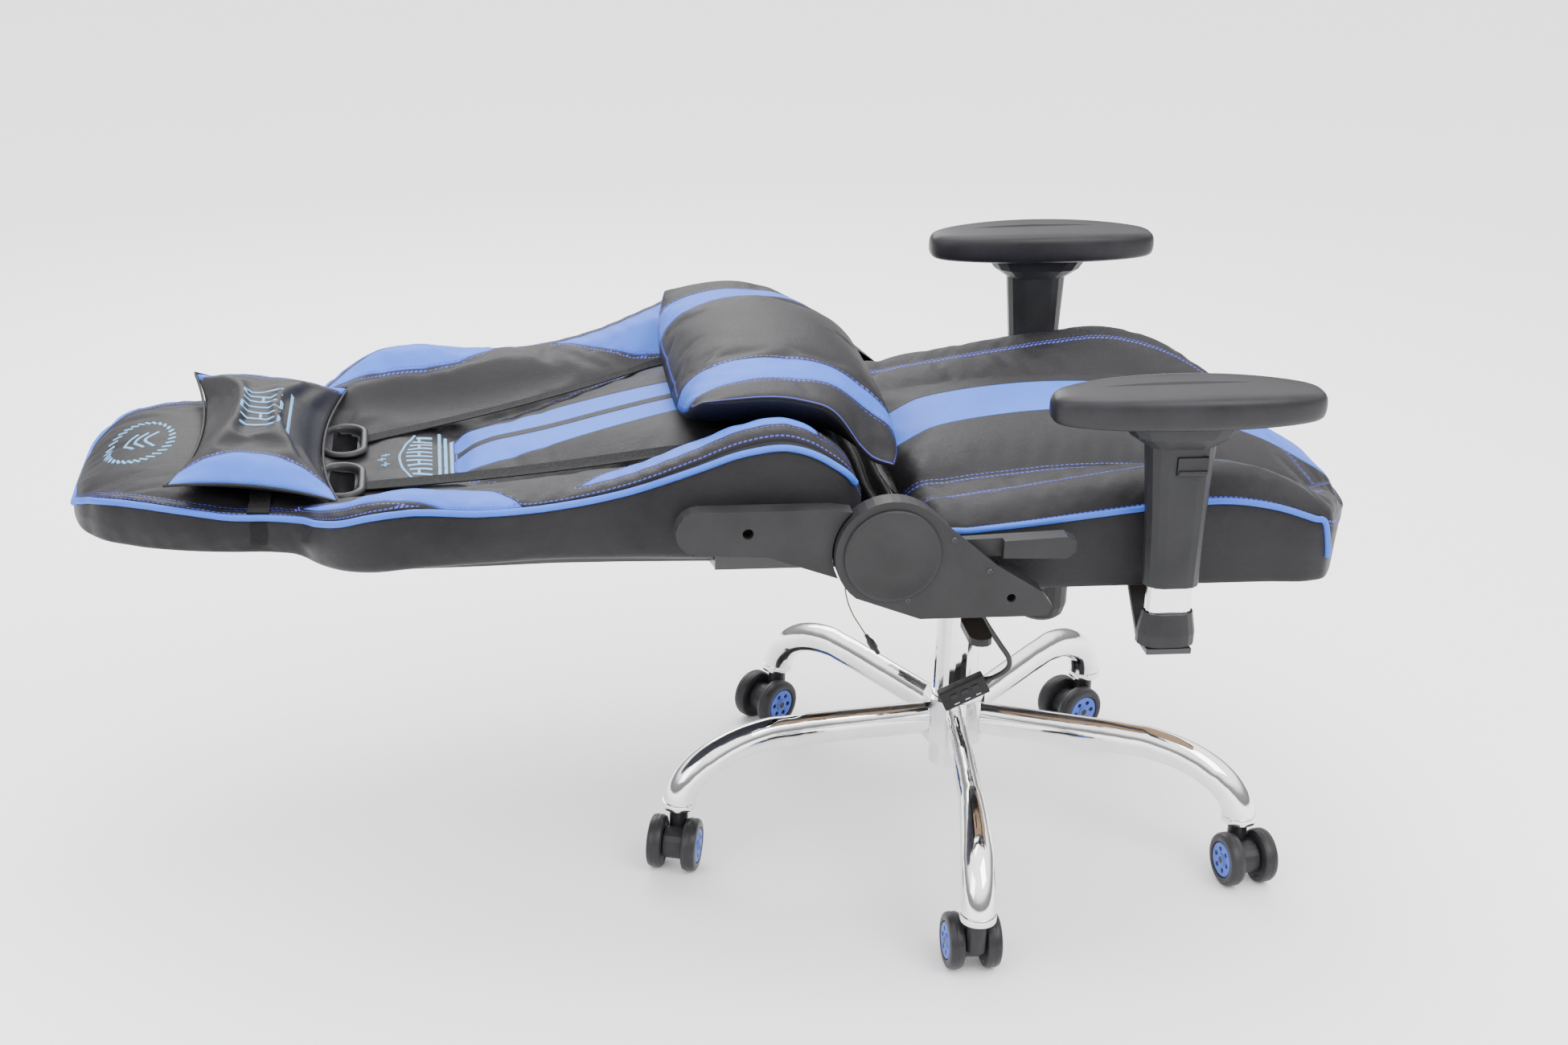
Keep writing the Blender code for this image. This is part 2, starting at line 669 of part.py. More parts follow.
def cover_outline(inset):
    """The recliner cover seen from its side: a disc round the hinge and a body running down to the front."""
    low = PAN_BOTTOM - 0.008 + inset
    centre = (HINGE_Y, HINGE_Z)
    front = COVER_FRONT + inset
    return arc(centre, COVER_RADIUS - inset, -52, 131, 22) + [
        (HINGE_Y - 0.103 + inset * 0.4, HINGE_Z - 0.013 - inset),
        (front + 0.012, low + 0.026 - inset * 0.6),
        (front, low + 0.010),
        (front + 0.006, low),
        (HINGE_Y - 0.030, low),
    ]


def side_cover(name, side):
    low, high = across(side, COVER_INNER, COVER_OUTER)
    cover = plate("YZ", low, high, cover_outline(0))
    hollow_low, hollow_high = across(side, COVER_INNER - 0.002, COVER_OUTER - COVER_WALL * 1.6)
    tools = [plate("YZ", hollow_low, hollow_high, cover_outline(COVER_WALL))]
    screw_low, screw_high = across(side, COVER_OUTER - 0.008, COVER_OUTER + 0.01)
    screw = circle((COVER_FRONT + 0.042, PAN_BOTTOM + 0.012), 0.0045, 10)
    tools.append(plate("YZ", screw_low, screw_high, screw))
    if side < 0:
        y, z = LEVER_PIVOT
        slot_low, slot_high = across(side, COVER_INNER - 0.002, COVER_OUTER - COVER_WALL * 1.8)
        tools.append(box((slot_low, y - 0.039, z - 0.018), (slot_high, y + 0.012, z + 0.040)))
    add(cut(cover, *tools), f"side_cover_{name}", "seat", "black_plastic")


def recline_lever():
    """A flat grip on the right: it turns on the recliner plate's stub and lifts at its front end."""
    y, z = LEVER_PIVOT
    inner = COVER_INNER + GAP
    low, high = across(-1, inner, inner + 0.010)
    tip = y - LEVER_REACH
    outline = arc((y, z), 0.009, -80, 80, 7) + [(tip + 0.010, z + 0.012), (tip, z + 0.008), (tip, z - 0.004)]
    outline += [(tip + 0.008, z - 0.009)]
    lever = plate("YZ", low, high, outline, [circle((y, z), 0.004 + SLIP, 12)])
    grip_low, grip_high = across(-1, inner, COVER_OUTER - 0.003)
    grip = [(tip + 0.001, z - 0.003), (tip + 0.009, z - 0.010), (y - 0.042, z - 0.008), (y - 0.042, z + 0.010)]
    grip += [(tip + 0.010, z + 0.013), (tip + 0.001, z + 0.008)]
    join(lever, plate("YZ", grip_low, grip_high, grip))
    add(lever, "recline_lever", "recline_lever", "black_plastic")


def back_plate(name, side):
    """The steel plate that turns on the hinge pin, with its ear bolted to the back's frame."""
    low, high = across(side, BACK_PLATE_INNER, BACK_PLATE_INNER + STEEL)
    centre = (HINGE_Y, HINGE_Z)
    end = HINGE_Y + BACK_COVER_LENGTH
    outline = arc(centre, RECLINER_RADIUS, 32, 332, 19) + [
        (end - 0.040, HINGE_Z + 0.004),
        (end - 0.014, HINGE_Z + 0.012),
        (end - 0.014, HINGE_Z + 0.034),
    ]
    steel = plate("YZ", low, high, outline, [circle(centre, HINGE_PIN_RADIUS + SLIP, 16)])
    add(steel, f"back_plate_{name}", "backrest", "steel")
    low, high = across(side, BACK_COVER_INNER, BACK_COVER_INNER + BACK_COVER_THICKNESS)
    round_disc = arc(centre, COVER_RADIUS + 0.0015, 47, -28, 12)
    outline = round_disc + [
        (HINGE_Y + 0.120, HINGE_Z - 0.003),
        (end - 0.012, HINGE_Z + 0.001),
        *arc((end - 0.018, HINGE_Z + 0.023), 0.022, -80, 90, 9),
        (HINGE_Y + 0.060, HINGE_Z + 0.045),
    ]
    cover = plate("YZ", low, high, outline)
    hole = circle((HINGE_Y + 0.140, HINGE_Z + 0.022), 0.0055, 12)
    hole_low, hole_high = across(side, BACK_COVER_INNER + 0.006, BACK_COVER_INNER + BACK_COVER_THICKNESS + 0.01)
    add(cut(cover, plate("YZ", hole_low, hole_high, hole)), f"back_cover_{name}", "backrest", "black_plastic")


# Back

# Share of the length from the hinge end, then the half width's share, and the heights over the hinge of the
# middle, the wings and the side's lower edge
BACK_STATIONS = (
    (0.000, 0.900, 0.028, 0.035, -0.020),
    (0.016, 0.970, 0.042, 0.065, -0.019),
    (0.050, 1.000, 0.049, 0.095, -0.018),
    (0.095, 1.000, 0.053, 0.113, -0.018),
    (0.150, 1.000, 0.053, 0.109, -0.018),
    (0.215, 0.990, 0.044, 0.087, -0.018),
    (0.290, 0.975, 0.030, 0.063, -0.018),
    (0.380, 0.970, 0.012, 0.047, -0.018),
    (0.470, 0.990, -0.001, 0.044, -0.019),
    (0.560, 1.000, -0.006, 0.049, -0.022),
    (0.605, 0.990, -0.007, 0.043, -0.026),
    (0.645, 0.920, -0.006, 0.028, -0.030),
    (0.670, 0.830, -0.004, 0.018, -0.033),
    (0.695, 0.715, -0.002, 0.009, -0.035),
    (0.730, 0.665, 0.002, 0.006, -0.036),
    (0.780, 0.655, 0.009, 0.006, -0.036),
    (0.840, 0.630, 0.016, 0.012, -0.036),
    (0.910, 0.560, 0.019, 0.015, -0.036),
    (0.960, 0.455, 0.013, 0.008, -0.036),
    (0.988, 0.300, -0.003, -0.008, -0.037),
    (1.000, 0.150, -0.017, -0.020, -0.038),
)
# Share of the half width, and how far the point follows the wing instead of the middle
BACK_SECTION = (
    (0.0, 0.0),
    (0.25, 0.0),
    (0.46, 0.0),
    (0.60, 0.12),
    (0.72, 0.62),
    (0.82, 0.96),
    (0.90, 1.0),
    (0.97, 0.86),
)


def back_station(along, width, middle, wing, flank):
    """A section of the back: wings at the front, and a rear that bulges down between its sides."""
    y = BACK_START + (HEAD_END - BACK_START) * along
    reach = width * BACK_HALF_WIDTH
    low = HINGE_Z + flank
    crest = HINGE_Z + wing
    half = []
    for share, follow in BACK_SECTION:
        half.append((share * reach, y, HINGE_Z + middle * (1 - follow) + wing * follow))
    half.append((reach, y, low + (crest - low) * 0.62))
    half.append((reach, y, low + (crest - low) * 0.25))
    half.append((reach * 0.97, y, low))
    half.append((reach * (FRAME_WIDTH + 0.02), y, FRAME_TOP + GAP))
    return mirrored_ring(half)


def strap_holes(low, high):
    x, y = STRAP_HOLE_SIZE
    made = []
    for _, side in SIDES:
        outline = moved(stadium(x / 2, y / 2, 6), side * STRAP_HOLE_X, STRAP_HOLE_Y)
        made.append(plate("XY", low, high, outline))
    return made


def back():
    outline = []
    for along, width, *_ in BACK_STATIONS:
        outline.append((width * BACK_HALF_WIDTH * FRAME_WIDTH, BACK_START + (HEAD_END - BACK_START) * along))
    outline += [(-x, y) for x, y in reversed(outline)]
    panel = plate("XY", FRAME_BOTTOM, FRAME_TOP, outline)
    ears = []
    start, end = BACK_START + 0.020, BACK_START + 0.150
    tab, rise = 0.006, HINGE_Z - 0.020
    for _, side in SIDES:
        low, high = across(side, BACK_HALF_WIDTH + GAP, BACK_PLATE_INNER - GAP)
        ears.append(box((low, start, rise - tab), (high, end, HINGE_Z + 0.022)))
        foot = [(BACK_HALF_WIDTH * 0.70, FRAME_TOP - 0.001), (BACK_HALF_WIDTH * 0.80, FRAME_TOP - 0.001)]
        foot += [(BACK_HALF_WIDTH * 0.97, rise), (BACK_HALF_WIDTH + 0.002, rise), (BACK_HALF_WIDTH + 0.002, rise - tab)]
        foot += [(BACK_HALF_WIDTH * 0.78, FRAME_BOTTOM + 0.001), (BACK_HALF_WIDTH * 0.70, FRAME_BOTTOM + 0.001)]
        for y in (start + 0.001, end - 0.026):
            ears.append(plate("XZ", y, y + 0.025, [(side * u, z) for u, z in foot]))
    join(panel, *ears)
    cut(panel, *strap_holes(FRAME_BOTTOM - 0.01, FRAME_TOP + 0.01))
    add(panel, "backrest_frame", "backrest", "black_steel")
    cushion = loft([back_station(*station) for station in BACK_STATIONS])
    cut(cushion, *strap_holes(FRAME_TOP - 0.01, HINGE_Z + 0.09))
    add(cushion, "backrest_cushion", "backrest", "black_leather")


def head_pillow():
    """Four-cornered pillow over the headrest: low between its corners, flat below."""
    floor = HINGE_Z + 0.012
    sections = []
    for share in (-1, -0.85, -0.5, 0, 0.5, 0.85, 1):
        reach = 0.060 + 0.028 * share * share
        top = 0.052 - 0.030 * share * share
        low = 0.014 * abs(share) ** 3
        ring = []
        underside = ((-1, low + 0.006), (-0.8, low), (0.8, low), (1, low + 0.006))
        profile = underside + ((0.75, top * 0.75), (0, top), (-0.75, top * 0.75))
        for along, height in profile:
            y = along * reach
            z = floor + height + y * HEAD_PILLOW_SLOPE
            ring.append((share * HEAD_PILLOW_HALF_LENGTH, HEAD_PILLOW_Y + y, z))
        sections.append(ring)
    add(loft(sections), "head_pillow", "backrest", "black_leather")


def lumbar_pillow():
    """Domed pillow lying between the lumbar wings, its underside curving up over their slopes."""
    floor = HINGE_Z + 0.0545
    sections = []
    for share in (-1, -0.92, -0.75, -0.5, 0, 0.5, 0.75, 0.92, 1):
        reach = 0.062 * (1 - 0.18 * share**4)
        low = 0.050 * abs(share) ** 3.2
        top = LUMBAR_THICKNESS - 0.012 * share**4
        front = ((1, 0.35), (0.80, 0.75), (0.35, 1))
        profile = ((-0.78, 0), (0.78, 0), *front, (-0.20, 1), (-0.72, 0.72), (-1, 0.30))
        ring = []
        for along, rise in profile:
            height = floor + low + (top - low) * rise
            ring.append((share * LUMBAR_HALF_LENGTH, LUMBAR_PILLOW_Y + along * reach, height))
        sections.append(ring)
    add(loft(sections), "lumbar_pillow", "backrest", "black_leather")


# Arms


def oval(half_x, half_y, count=16):
    """A section with flat sides and round ends, longest along Y."""
    return [(x, y) for y, x in stadium(half_y, half_x, count // 2)]


def moved(points, x, y):
    return [(u + x, v + y) for u, v in points]


def arm(name, side):
    x = side * ARM_X
    half_x, half_y = ARM_TUBE[0] / 2, ARM_TUBE[1] / 2
    bracket(name, side)
    foot = ARM_FOOT + GAP * 4
    outline = moved(oval(half_x, half_y), x, ARM_Y)
    bore = moved(oval(half_x - ARM_TUBE_WALL, half_y - ARM_TUBE_WALL), x, ARM_Y)
    tube_top = PAD_BOTTOM - ARM_DOWN - 0.008
    add(plate("XY", foot, tube_top, outline, [bore]), f"arm_tube_{name}", "seat", "chrome")
    clear = moved(oval(half_x + SLIP, half_y + SLIP), x, ARM_Y)
    wide = moved(oval(half_x + 0.006, half_y + 0.006), x, ARM_Y)
    narrow = moved(oval(half_x + 0.004, half_y + 0.002), x, ARM_Y)
    levels = ((wide, foot), (wide, foot + 0.012), (narrow, foot + BOOT_HEIGHT))
    boot = loft([[(u, v, z) for u, v in ring] for ring, z in levels])
    cut(boot, plate("XY", foot - 0.01, foot + BOOT_HEIGHT + 0.01, clear))
    add(boot, f"arm_boot_{name}", "seat", "black_plastic")
    sleeve(name, side, clear)
    armrest_pad(name, side)


def bracket(name, side):
    """A bent flat bar from under the seat, with an upright tongue inside the tube."""
    top, half = PAN_BOTTOM - GAP, ARM_BAR / 2
    inner = PLATE_HALF_WIDTH + 0.002
    bend = SEAT_HALF_WIDTH - 0.040
    outer = ARM_X + ARM_TUBE[0] / 2 + 0.006
    slope = Vector((ARM_X - ARM_TUBE[0] / 2 - 0.006 - bend, ARM_FOOT - top)).normalized()
    shift = ARM_BAR * math.tan(slope.angle(Vector((1, 0))) / 2)
    low_bend = ARM_X - ARM_TUBE[0] / 2 - 0.006
    outline = [
        (inner, top),
        (bend, top),
        (low_bend, ARM_FOOT),
        (outer, ARM_FOOT),
        (outer, ARM_FOOT - ARM_BAR),
        (low_bend - shift, ARM_FOOT - ARM_BAR),
        (bend - shift, top - ARM_BAR),
        (inner, top - ARM_BAR),
    ]
    low, high = ARM_Y - ARM_BAR_WIDTH / 2, ARM_Y + ARM_BAR_WIDTH / 2
    bar = plate("XZ", low, high, [(side * x, z) for x, z in outline])
    tongue_low, tongue_high = across(side, ARM_X - half, ARM_X + half)
    reach = ARM_TUBE[1] / 2 - ARM_TUBE_WALL - 0.005
    tongue = box((tongue_low, ARM_Y - reach, ARM_FOOT - 0.003), (tongue_high, ARM_Y + reach, ARM_FOOT + 0.070))
    add(join(bar, tongue), f"arm_bracket_{name}", "seat", "black_steel")


def sleeve(name, side, clear):
    """The sliding plastic sleeve: tapered, with a flange under the pad and a pocket for its button."""
    x = side * ARM_X
    levels = ((0.0, 0.0165, 0.0275, 0.0), (0.45, 0.0175, 0.030, 0.002), (0.86, 0.019, 0.0345, 0.004))
    levels += ((0.93, 0.028, 0.052, 0.004), (1.0, 0.031, 0.060, 0.004))
    rings = []
    for share, half_x, half_y, shift in levels:
        z = SLEEVE_BOTTOM + SLEEVE_HEIGHT * share
        rings.append([(u, v, z) for u, v in moved(oval(half_x, half_y), x, ARM_Y + shift)])
    bore_top = PAD_BOTTOM - 0.005
    bore = plate("XY", SLEEVE_BOTTOM - 0.01, bore_top, clear)
    y, z = ARM_Y - 0.004, SLEEVE_BOTTOM + SLEEVE_HEIGHT * 0.76
    face = ARM_X + 0.0187
    low, high = across(side, face - 0.0050, face + 0.02)
    pocket = box((low, y - 0.0155, z - 0.0095), (high, y + 0.0155, z + 0.0095))
    add(cut(loft(rings), bore, pocket), f"arm_sleeve_{name}", f"arm_{name}", "black_plastic")
    low, high = across(side, face - 0.0050 + BUTTON_TRAVEL + GAP, face + 0.0025)
    button = box((low, y - 0.015, z - 0.009), (high, y + 0.015, z + 0.009))
    add(button, f"arm_button_{name}", f"button_{name}", "black_plastic")


def pad_oval(half_x, half_y):
    """An oval with enough points along its sides to taper smoothly."""
    ring = []
    for point, following in zip(oval(half_x, half_y, 16), oval(half_x, half_y, 16)[1:] + oval(half_x, half_y, 16)[:1]):
        steps = 6 if abs(point[1] - following[1]) > half_x else 1
        ring += [tuple(a + (b - a) * i / steps for a, b in zip(point, following)) for i in range(steps)]
    return ring


def armrest_pad(name, side):
    """A round-ended pad, crowned and arched a little from front to back."""
    levels = ((0.0, 0.80), (0.22, 0.97), (0.5, 1.0), (0.78, 0.93), (0.95, 0.74), (1.0, 0.5))
    rings = []
    for share, size in levels:
        narrow = PAD_WIDTH / 2 - (1 - size) * PAD_WIDTH / 2
        reach = PAD_LENGTH / 2 - (1 - size) * PAD_WIDTH / 2
        ring = []
        for u, v in pad_oval(narrow, reach):
            arch = 0.006 * (1 - (v / (PAD_LENGTH / 2)) ** 2) * share
            u *= 1 - PAD_TAPER * (v / reach) ** 2
            ring.append((side * ARM_X + u, ARM_Y + v, PAD_BOTTOM + GAP + PAD_THICKNESS * share + arch))
        rings.append(ring)
    add(loft(rings), f"armrest_pad_{name}", f"arm_{name}", "black_plastic")


# Cords


def smooth_route(route, spacing):
    """Points along a smooth curve through the route's own points."""
    points = [Vector(point) for point in route]
    ends = [2 * points[0] - points[1], *points, 2 * points[-1] - points[-2]]
    made = []
    for i in range(1, len(points)):
        before, start, end, after = ends[i - 1 : i + 3]
        count = max(1, round((end - start).length / spacing))
        for step in range(count):
            t = step / count
            made.append(
                0.5
                * (
                    2 * start
                    + (end - before) * t
                    + (2 * before - 5 * start + 4 * end - after) * t * t
                    + (3 * start - before - 3 * end + after) * t**3
                )
            )
    return made + [points[-1]]


def cord_tube(route, radius, name, finish):
    curve = bpy.data.curves.new(name, "CURVE")
    curve.dimensions = "3D"
    curve.bevel_depth = radius
    curve.bevel_resolution = 2
    curve.use_fill_caps = True
    points = smooth_route(route, 6 * radius if radius < 0.002 else 2.6 * radius)
    spline = curve.splines.new("POLY")
    spline.points.add(len(points) - 1)
    for place, point in zip(spline.points, points):
        place.co = (*point, 1)
    add(from_curve(curve), name, "mechanism", finish)


def cords():
    cord_tube(WIRE_ROUTE, WIRE_RADIUS, "wire", "black_rubber")
    end, before = Vector(WIRE_ROUTE[-1]), Vector(WIRE_ROUTE[-2])
    along = (end - before).normalized()
    start = end + along * GAP
    plug = rod(start, start + along * PLUG_LENGTH * 0.7, 0.0025, 12, PLUG_RADIUS)
    tip = rod(start + along * PLUG_LENGTH * 0.6, start + along * PLUG_LENGTH, 0.0028, 12)
    add(join(plug, tip), "wire_plug", "mechanism", "black_plastic")
    cord_tube(CABLE_ROUTE, CABLE_RADIUS, "cable", "black_rubber")
    end, before = Vector(CABLE_ROUTE[-1]), Vector(CABLE_ROUTE[-2])
    along = (end - before).normalized()
    centre = end + along * (GAP + BOX_SIZE[1] / 2)
    turn = Vector((0, 1, 0)).rotation_difference(along)
    bm = bmesh.new()
    bmesh.ops.create_cube(bm, size=1, matrix=Matrix.LocRotScale(centre, turn, BOX_SIZE))
    bmesh.ops.bevel(bm, geom=bm.edges[:], offset=0.002, segments=1, affect="EDGES")
    add(from_bmesh(bm), "control_box", "mechanism", "black_plastic")


clear_scene()
parts = collection(COLLECTION)
cutters = collection(COLLECTION + "_cutters")
body("base", (0, 0, 0))
body("lift", (0, 0, TUBE_TOP), "base")
body("mechanism", (0, 0, HOUSING_BOTTOM), "lift")
body("tension_knob", (0, TILT_Y, TILT_Z), "mechanism")
body("lock_bolt", (HOUSING_HALF_WIDTH, BOLT_Y, bolt_z()), "mechanism")
body("height_lever", (0.010 - HOUSING_HALF_WIDTH, LEVER_Y, lever_z()), "mechanism")
body("seat", (0, TILT_Y, TILT_Z), "mechanism")
body("backrest", (0, HINGE_Y, HINGE_Z), "seat")
body("recline_lever", (-COVER_INNER, *LEVER_PIVOT), "seat")
base()
mechanism()
seat()
back()
head_pillow()
lumbar_pillow()
recline_lever()
for side_name, sign in SIDES:
    body(f"arm_{side_name}", (sign * ARM_X, ARM_Y, SLEEVE_BOTTOM), "seat")
    body(f"button_{side_name}", (sign * ARM_X, ARM_Y, SLEEVE_BOTTOM + SLEEVE_HEIGHT * 0.76), f"arm_{side_name}")
    recliner(side_name, sign)
    arm(side_name, sign)
cords()
bodies["base"][0].location.y = -(SEAT_FRONT + HEAD_END) / 2
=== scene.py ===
import math

import bmesh
import bpy
import numpy as np
from mathutils import Matrix, Vector
from mathutils.bvhtree import BVHTree


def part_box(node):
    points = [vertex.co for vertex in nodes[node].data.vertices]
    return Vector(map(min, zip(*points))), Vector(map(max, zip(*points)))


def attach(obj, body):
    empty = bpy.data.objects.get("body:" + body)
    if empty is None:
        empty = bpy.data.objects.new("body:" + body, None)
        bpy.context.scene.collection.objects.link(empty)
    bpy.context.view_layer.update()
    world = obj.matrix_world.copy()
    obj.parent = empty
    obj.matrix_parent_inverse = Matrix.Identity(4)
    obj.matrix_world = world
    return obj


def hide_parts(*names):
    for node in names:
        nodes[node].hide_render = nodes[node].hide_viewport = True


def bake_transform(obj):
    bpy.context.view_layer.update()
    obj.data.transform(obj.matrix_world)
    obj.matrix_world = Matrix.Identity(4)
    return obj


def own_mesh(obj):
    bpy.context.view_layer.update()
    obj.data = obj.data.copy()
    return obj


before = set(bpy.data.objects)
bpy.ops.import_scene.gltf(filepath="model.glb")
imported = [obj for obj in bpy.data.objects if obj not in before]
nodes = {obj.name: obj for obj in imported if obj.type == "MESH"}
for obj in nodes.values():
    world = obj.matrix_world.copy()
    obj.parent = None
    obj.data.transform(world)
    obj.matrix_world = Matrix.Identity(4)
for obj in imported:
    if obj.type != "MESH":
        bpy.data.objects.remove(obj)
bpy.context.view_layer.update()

scene = bpy.context.scene
sides = (("right", -1), ("left", 1))


def middleOf(node):
    low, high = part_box(node)
    return (low + high) / 2


postY = middleOf("gas_lift_tube").y      # places below are measured from the gas lift's axis


def at(x, y, z):
    return Vector((x, y + postY, z))


# camera, floor and light

view = {
    "eye": (-2.378, 0.576, 1.352),
    "pan": -3.75,
    "down": 22.77,
    "lens": 54.24,
    "shift": (0.127, 0.0177),
}

studio = {
    "floor": (0.94, 0.94, 0.945),
    "floorReach": 9,
    "sky": 3.0,
    "skyRise": ((0.02, 0.10), (1.0, 1.0), (0.22, 0.16), (0.42, 0.80)),     # dark walls under a bright ceiling
    # place, aim, size, watts
    "keySoftbox": ((-1.9, -1.2, 2.5), (0.0, 0.0, 0.45), (1.6, 1.6), 60),
    "topSoftbox": ((0.3, 0.2, 2.9), (0.0, 0.1, 0.4), (2.4, 1.6), 55),
    "fillSoftbox": ((-1.6, 2.3, 1.5), (0.0, 0.2, 0.4), (1.4, 1.4), 24),
    "rimSoftbox": ((2.2, 0.6, 1.7), (0.0, 0.2, 0.5), (1.8, 1.2), 34),
}


def aim(obj, target):
    obj.rotation_euler = (target - obj.location).to_track_quat("-Z", "Y").to_euler()


def link(name, data):
    obj = bpy.data.objects.new(name, data)
    scene.collection.objects.link(obj)
    return obj


lens = bpy.data.cameras.new("viewCamera")
lens.sensor_width = 36
lens.lens = view["lens"]
lens.shift_x, lens.shift_y = view["shift"]
lens.clip_end = 60
camera = link("viewCamera", lens)
camera.location = at(*view["eye"])
down, pan = math.radians(view["down"]), math.radians(view["pan"])
ahead = Vector((math.cos(down) * math.cos(pan), math.cos(down) * math.sin(pan), -math.sin(down)))
aim(camera, camera.location + ahead)
scene.camera = camera

scene.world = bpy.data.worlds.new("paleStudio")
scene.world.use_nodes = True
sky = scene.world.node_tree.nodes["Background"]
tree = scene.world.node_tree
where = tree.nodes.new("ShaderNodeTexCoord")
rise = tree.nodes.new("ShaderNodeSeparateXYZ")
ramp = tree.nodes.new("ShaderNodeValToRGB")
tree.links.new(where.outputs["Generated"], rise.inputs[0])
tree.links.new(rise.outputs["Z"], ramp.inputs["Fac"])
tree.links.new(ramp.outputs["Color"], sky.inputs["Color"])
stops = ramp.color_ramp.elements
for stop, (height, grey) in zip((stops[0], stops[1], stops.new(0.5), stops.new(0.6)), studio["skyRise"]):
    stop.position, stop.color = height, (grey, grey, grey * 1.01, 1)
sky.inputs["Strength"].default_value = studio["sky"]
for name in ("keySoftbox", "topSoftbox", "fillSoftbox", "rimSoftbox"):
    place, target, size, watts = studio[name]
    lamp = bpy.data.lights.new(name, "AREA")
    lamp.shape = "RECTANGLE"
    lamp.size, lamp.size_y = size
    lamp.energy = watts
    softbox = link(name, lamp)
    softbox.location = at(*place)
    aim(softbox, at(*target))
print("camera and lamps are in place")


# finishes


def blank(name):
    material = bpy.data.materials.new(name)
    material.use_nodes = True
    tree = material.node_tree
    return material, tree, tree.nodes["Principled BSDF"]


def put(tree, kind, inputs=None, **settings):
    made = tree.nodes.new(kind)
    for key, value in settings.items():
        setattr(made, key, value)
    for key, value in (inputs or {}).items():
        if isinstance(value, bpy.types.NodeSocket):
            tree.links.new(value, made.inputs[key])
        else:
            made.inputs[key].default_value = value
    return made


def calc(tree, operation, *values):
    made = put(tree, "ShaderNodeMath", dict(enumerate(values)), operation=operation)
    return made.outputs[0]


def spread(tree, value, low, high, fromLow=0.3, fromHigh=0.7):
    inputs = {"Value": value, "From Min": fromLow, "From Max": fromHigh, "To Min": low, "To Max": high}
    return put(tree, "ShaderNodeMapRange", inputs).outputs[0]


def blend(tree, share, first, second):
    def solid(colour):
        return colour if isinstance(colour, bpy.types.NodeSocket) else (*colour, 1)

    inputs = {0: share, 6: solid(first), 7: solid(second)}
    return put(tree, "ShaderNodeMix", inputs, data_type="RGBA").outputs[2]


def places(tree, stretch=(1, 1, 1)):
    where = put(tree, "ShaderNodeTexCoord").outputs["Object"]
    if stretch == (1, 1, 1):
        return where
    return put(tree, "ShaderNodeMapping", {"Vector": where, "Scale": stretch}).outputs[0]


def noise(tree, where, scale, detail=3, roughness=0.55):
    inputs = {"Vector": where, "Scale": scale, "Detail": detail, "Roughness": roughness}
    return put(tree, "ShaderNodeTexNoise", inputs).outputs["Fac"]


def cells(tree, where, scale):
    inputs = {"Vector": where, "Scale": scale}
    return put(tree, "ShaderNodeTexVoronoi", inputs, feature="DISTANCE_TO_EDGE").outputs["Distance"]


def bump(tree, shader, height, depth, under=None):
    inputs = {"Height": height, "Distance": depth, "Strength": 1.0}
    if under is not None:
        inputs["Normal"] = under
    normal = put(tree, "ShaderNodeBump", inputs).outputs[0]
    tree.links.new(normal, shader.inputs["Normal"])
    return normal


def feed(tree, shader, **sockets):
    for name, value in sockets.items():
        socket = shader.inputs[{"colour": "Base Color", "roughness": "Roughness", "metal": "Metallic"}[name]]
        if isinstance(value, bpy.types.NodeSocket):
            tree.links.new(value, socket)
        else:
            socket.default_value = value


leatherLook = {
    "black": ((0.008, 0.0077, 0.009), (0.018, 0.0172, 0.0195)),
    "blue": ((0.032, 0.105, 0.52), (0.050, 0.145, 0.62)),
    "thread": (0.055, 0.065, 0.42),
    "cell": 620,            # grain cells in a metre
    "grain": 0.00016,       # depth
    "crease": 0.0009,
    "roughness": (0.36, 0.50),
    "stitch": 0.0052,       # from one stitch to the next
    "row": 0.0036,          # from the seam to each stitch row
}


def tint(tree, shader, share, dark, light, low=0.3, high=0.7):
    feed(tree, shader, colour=blend(tree, spread(tree, share, 0, 1, low, high), dark, light))


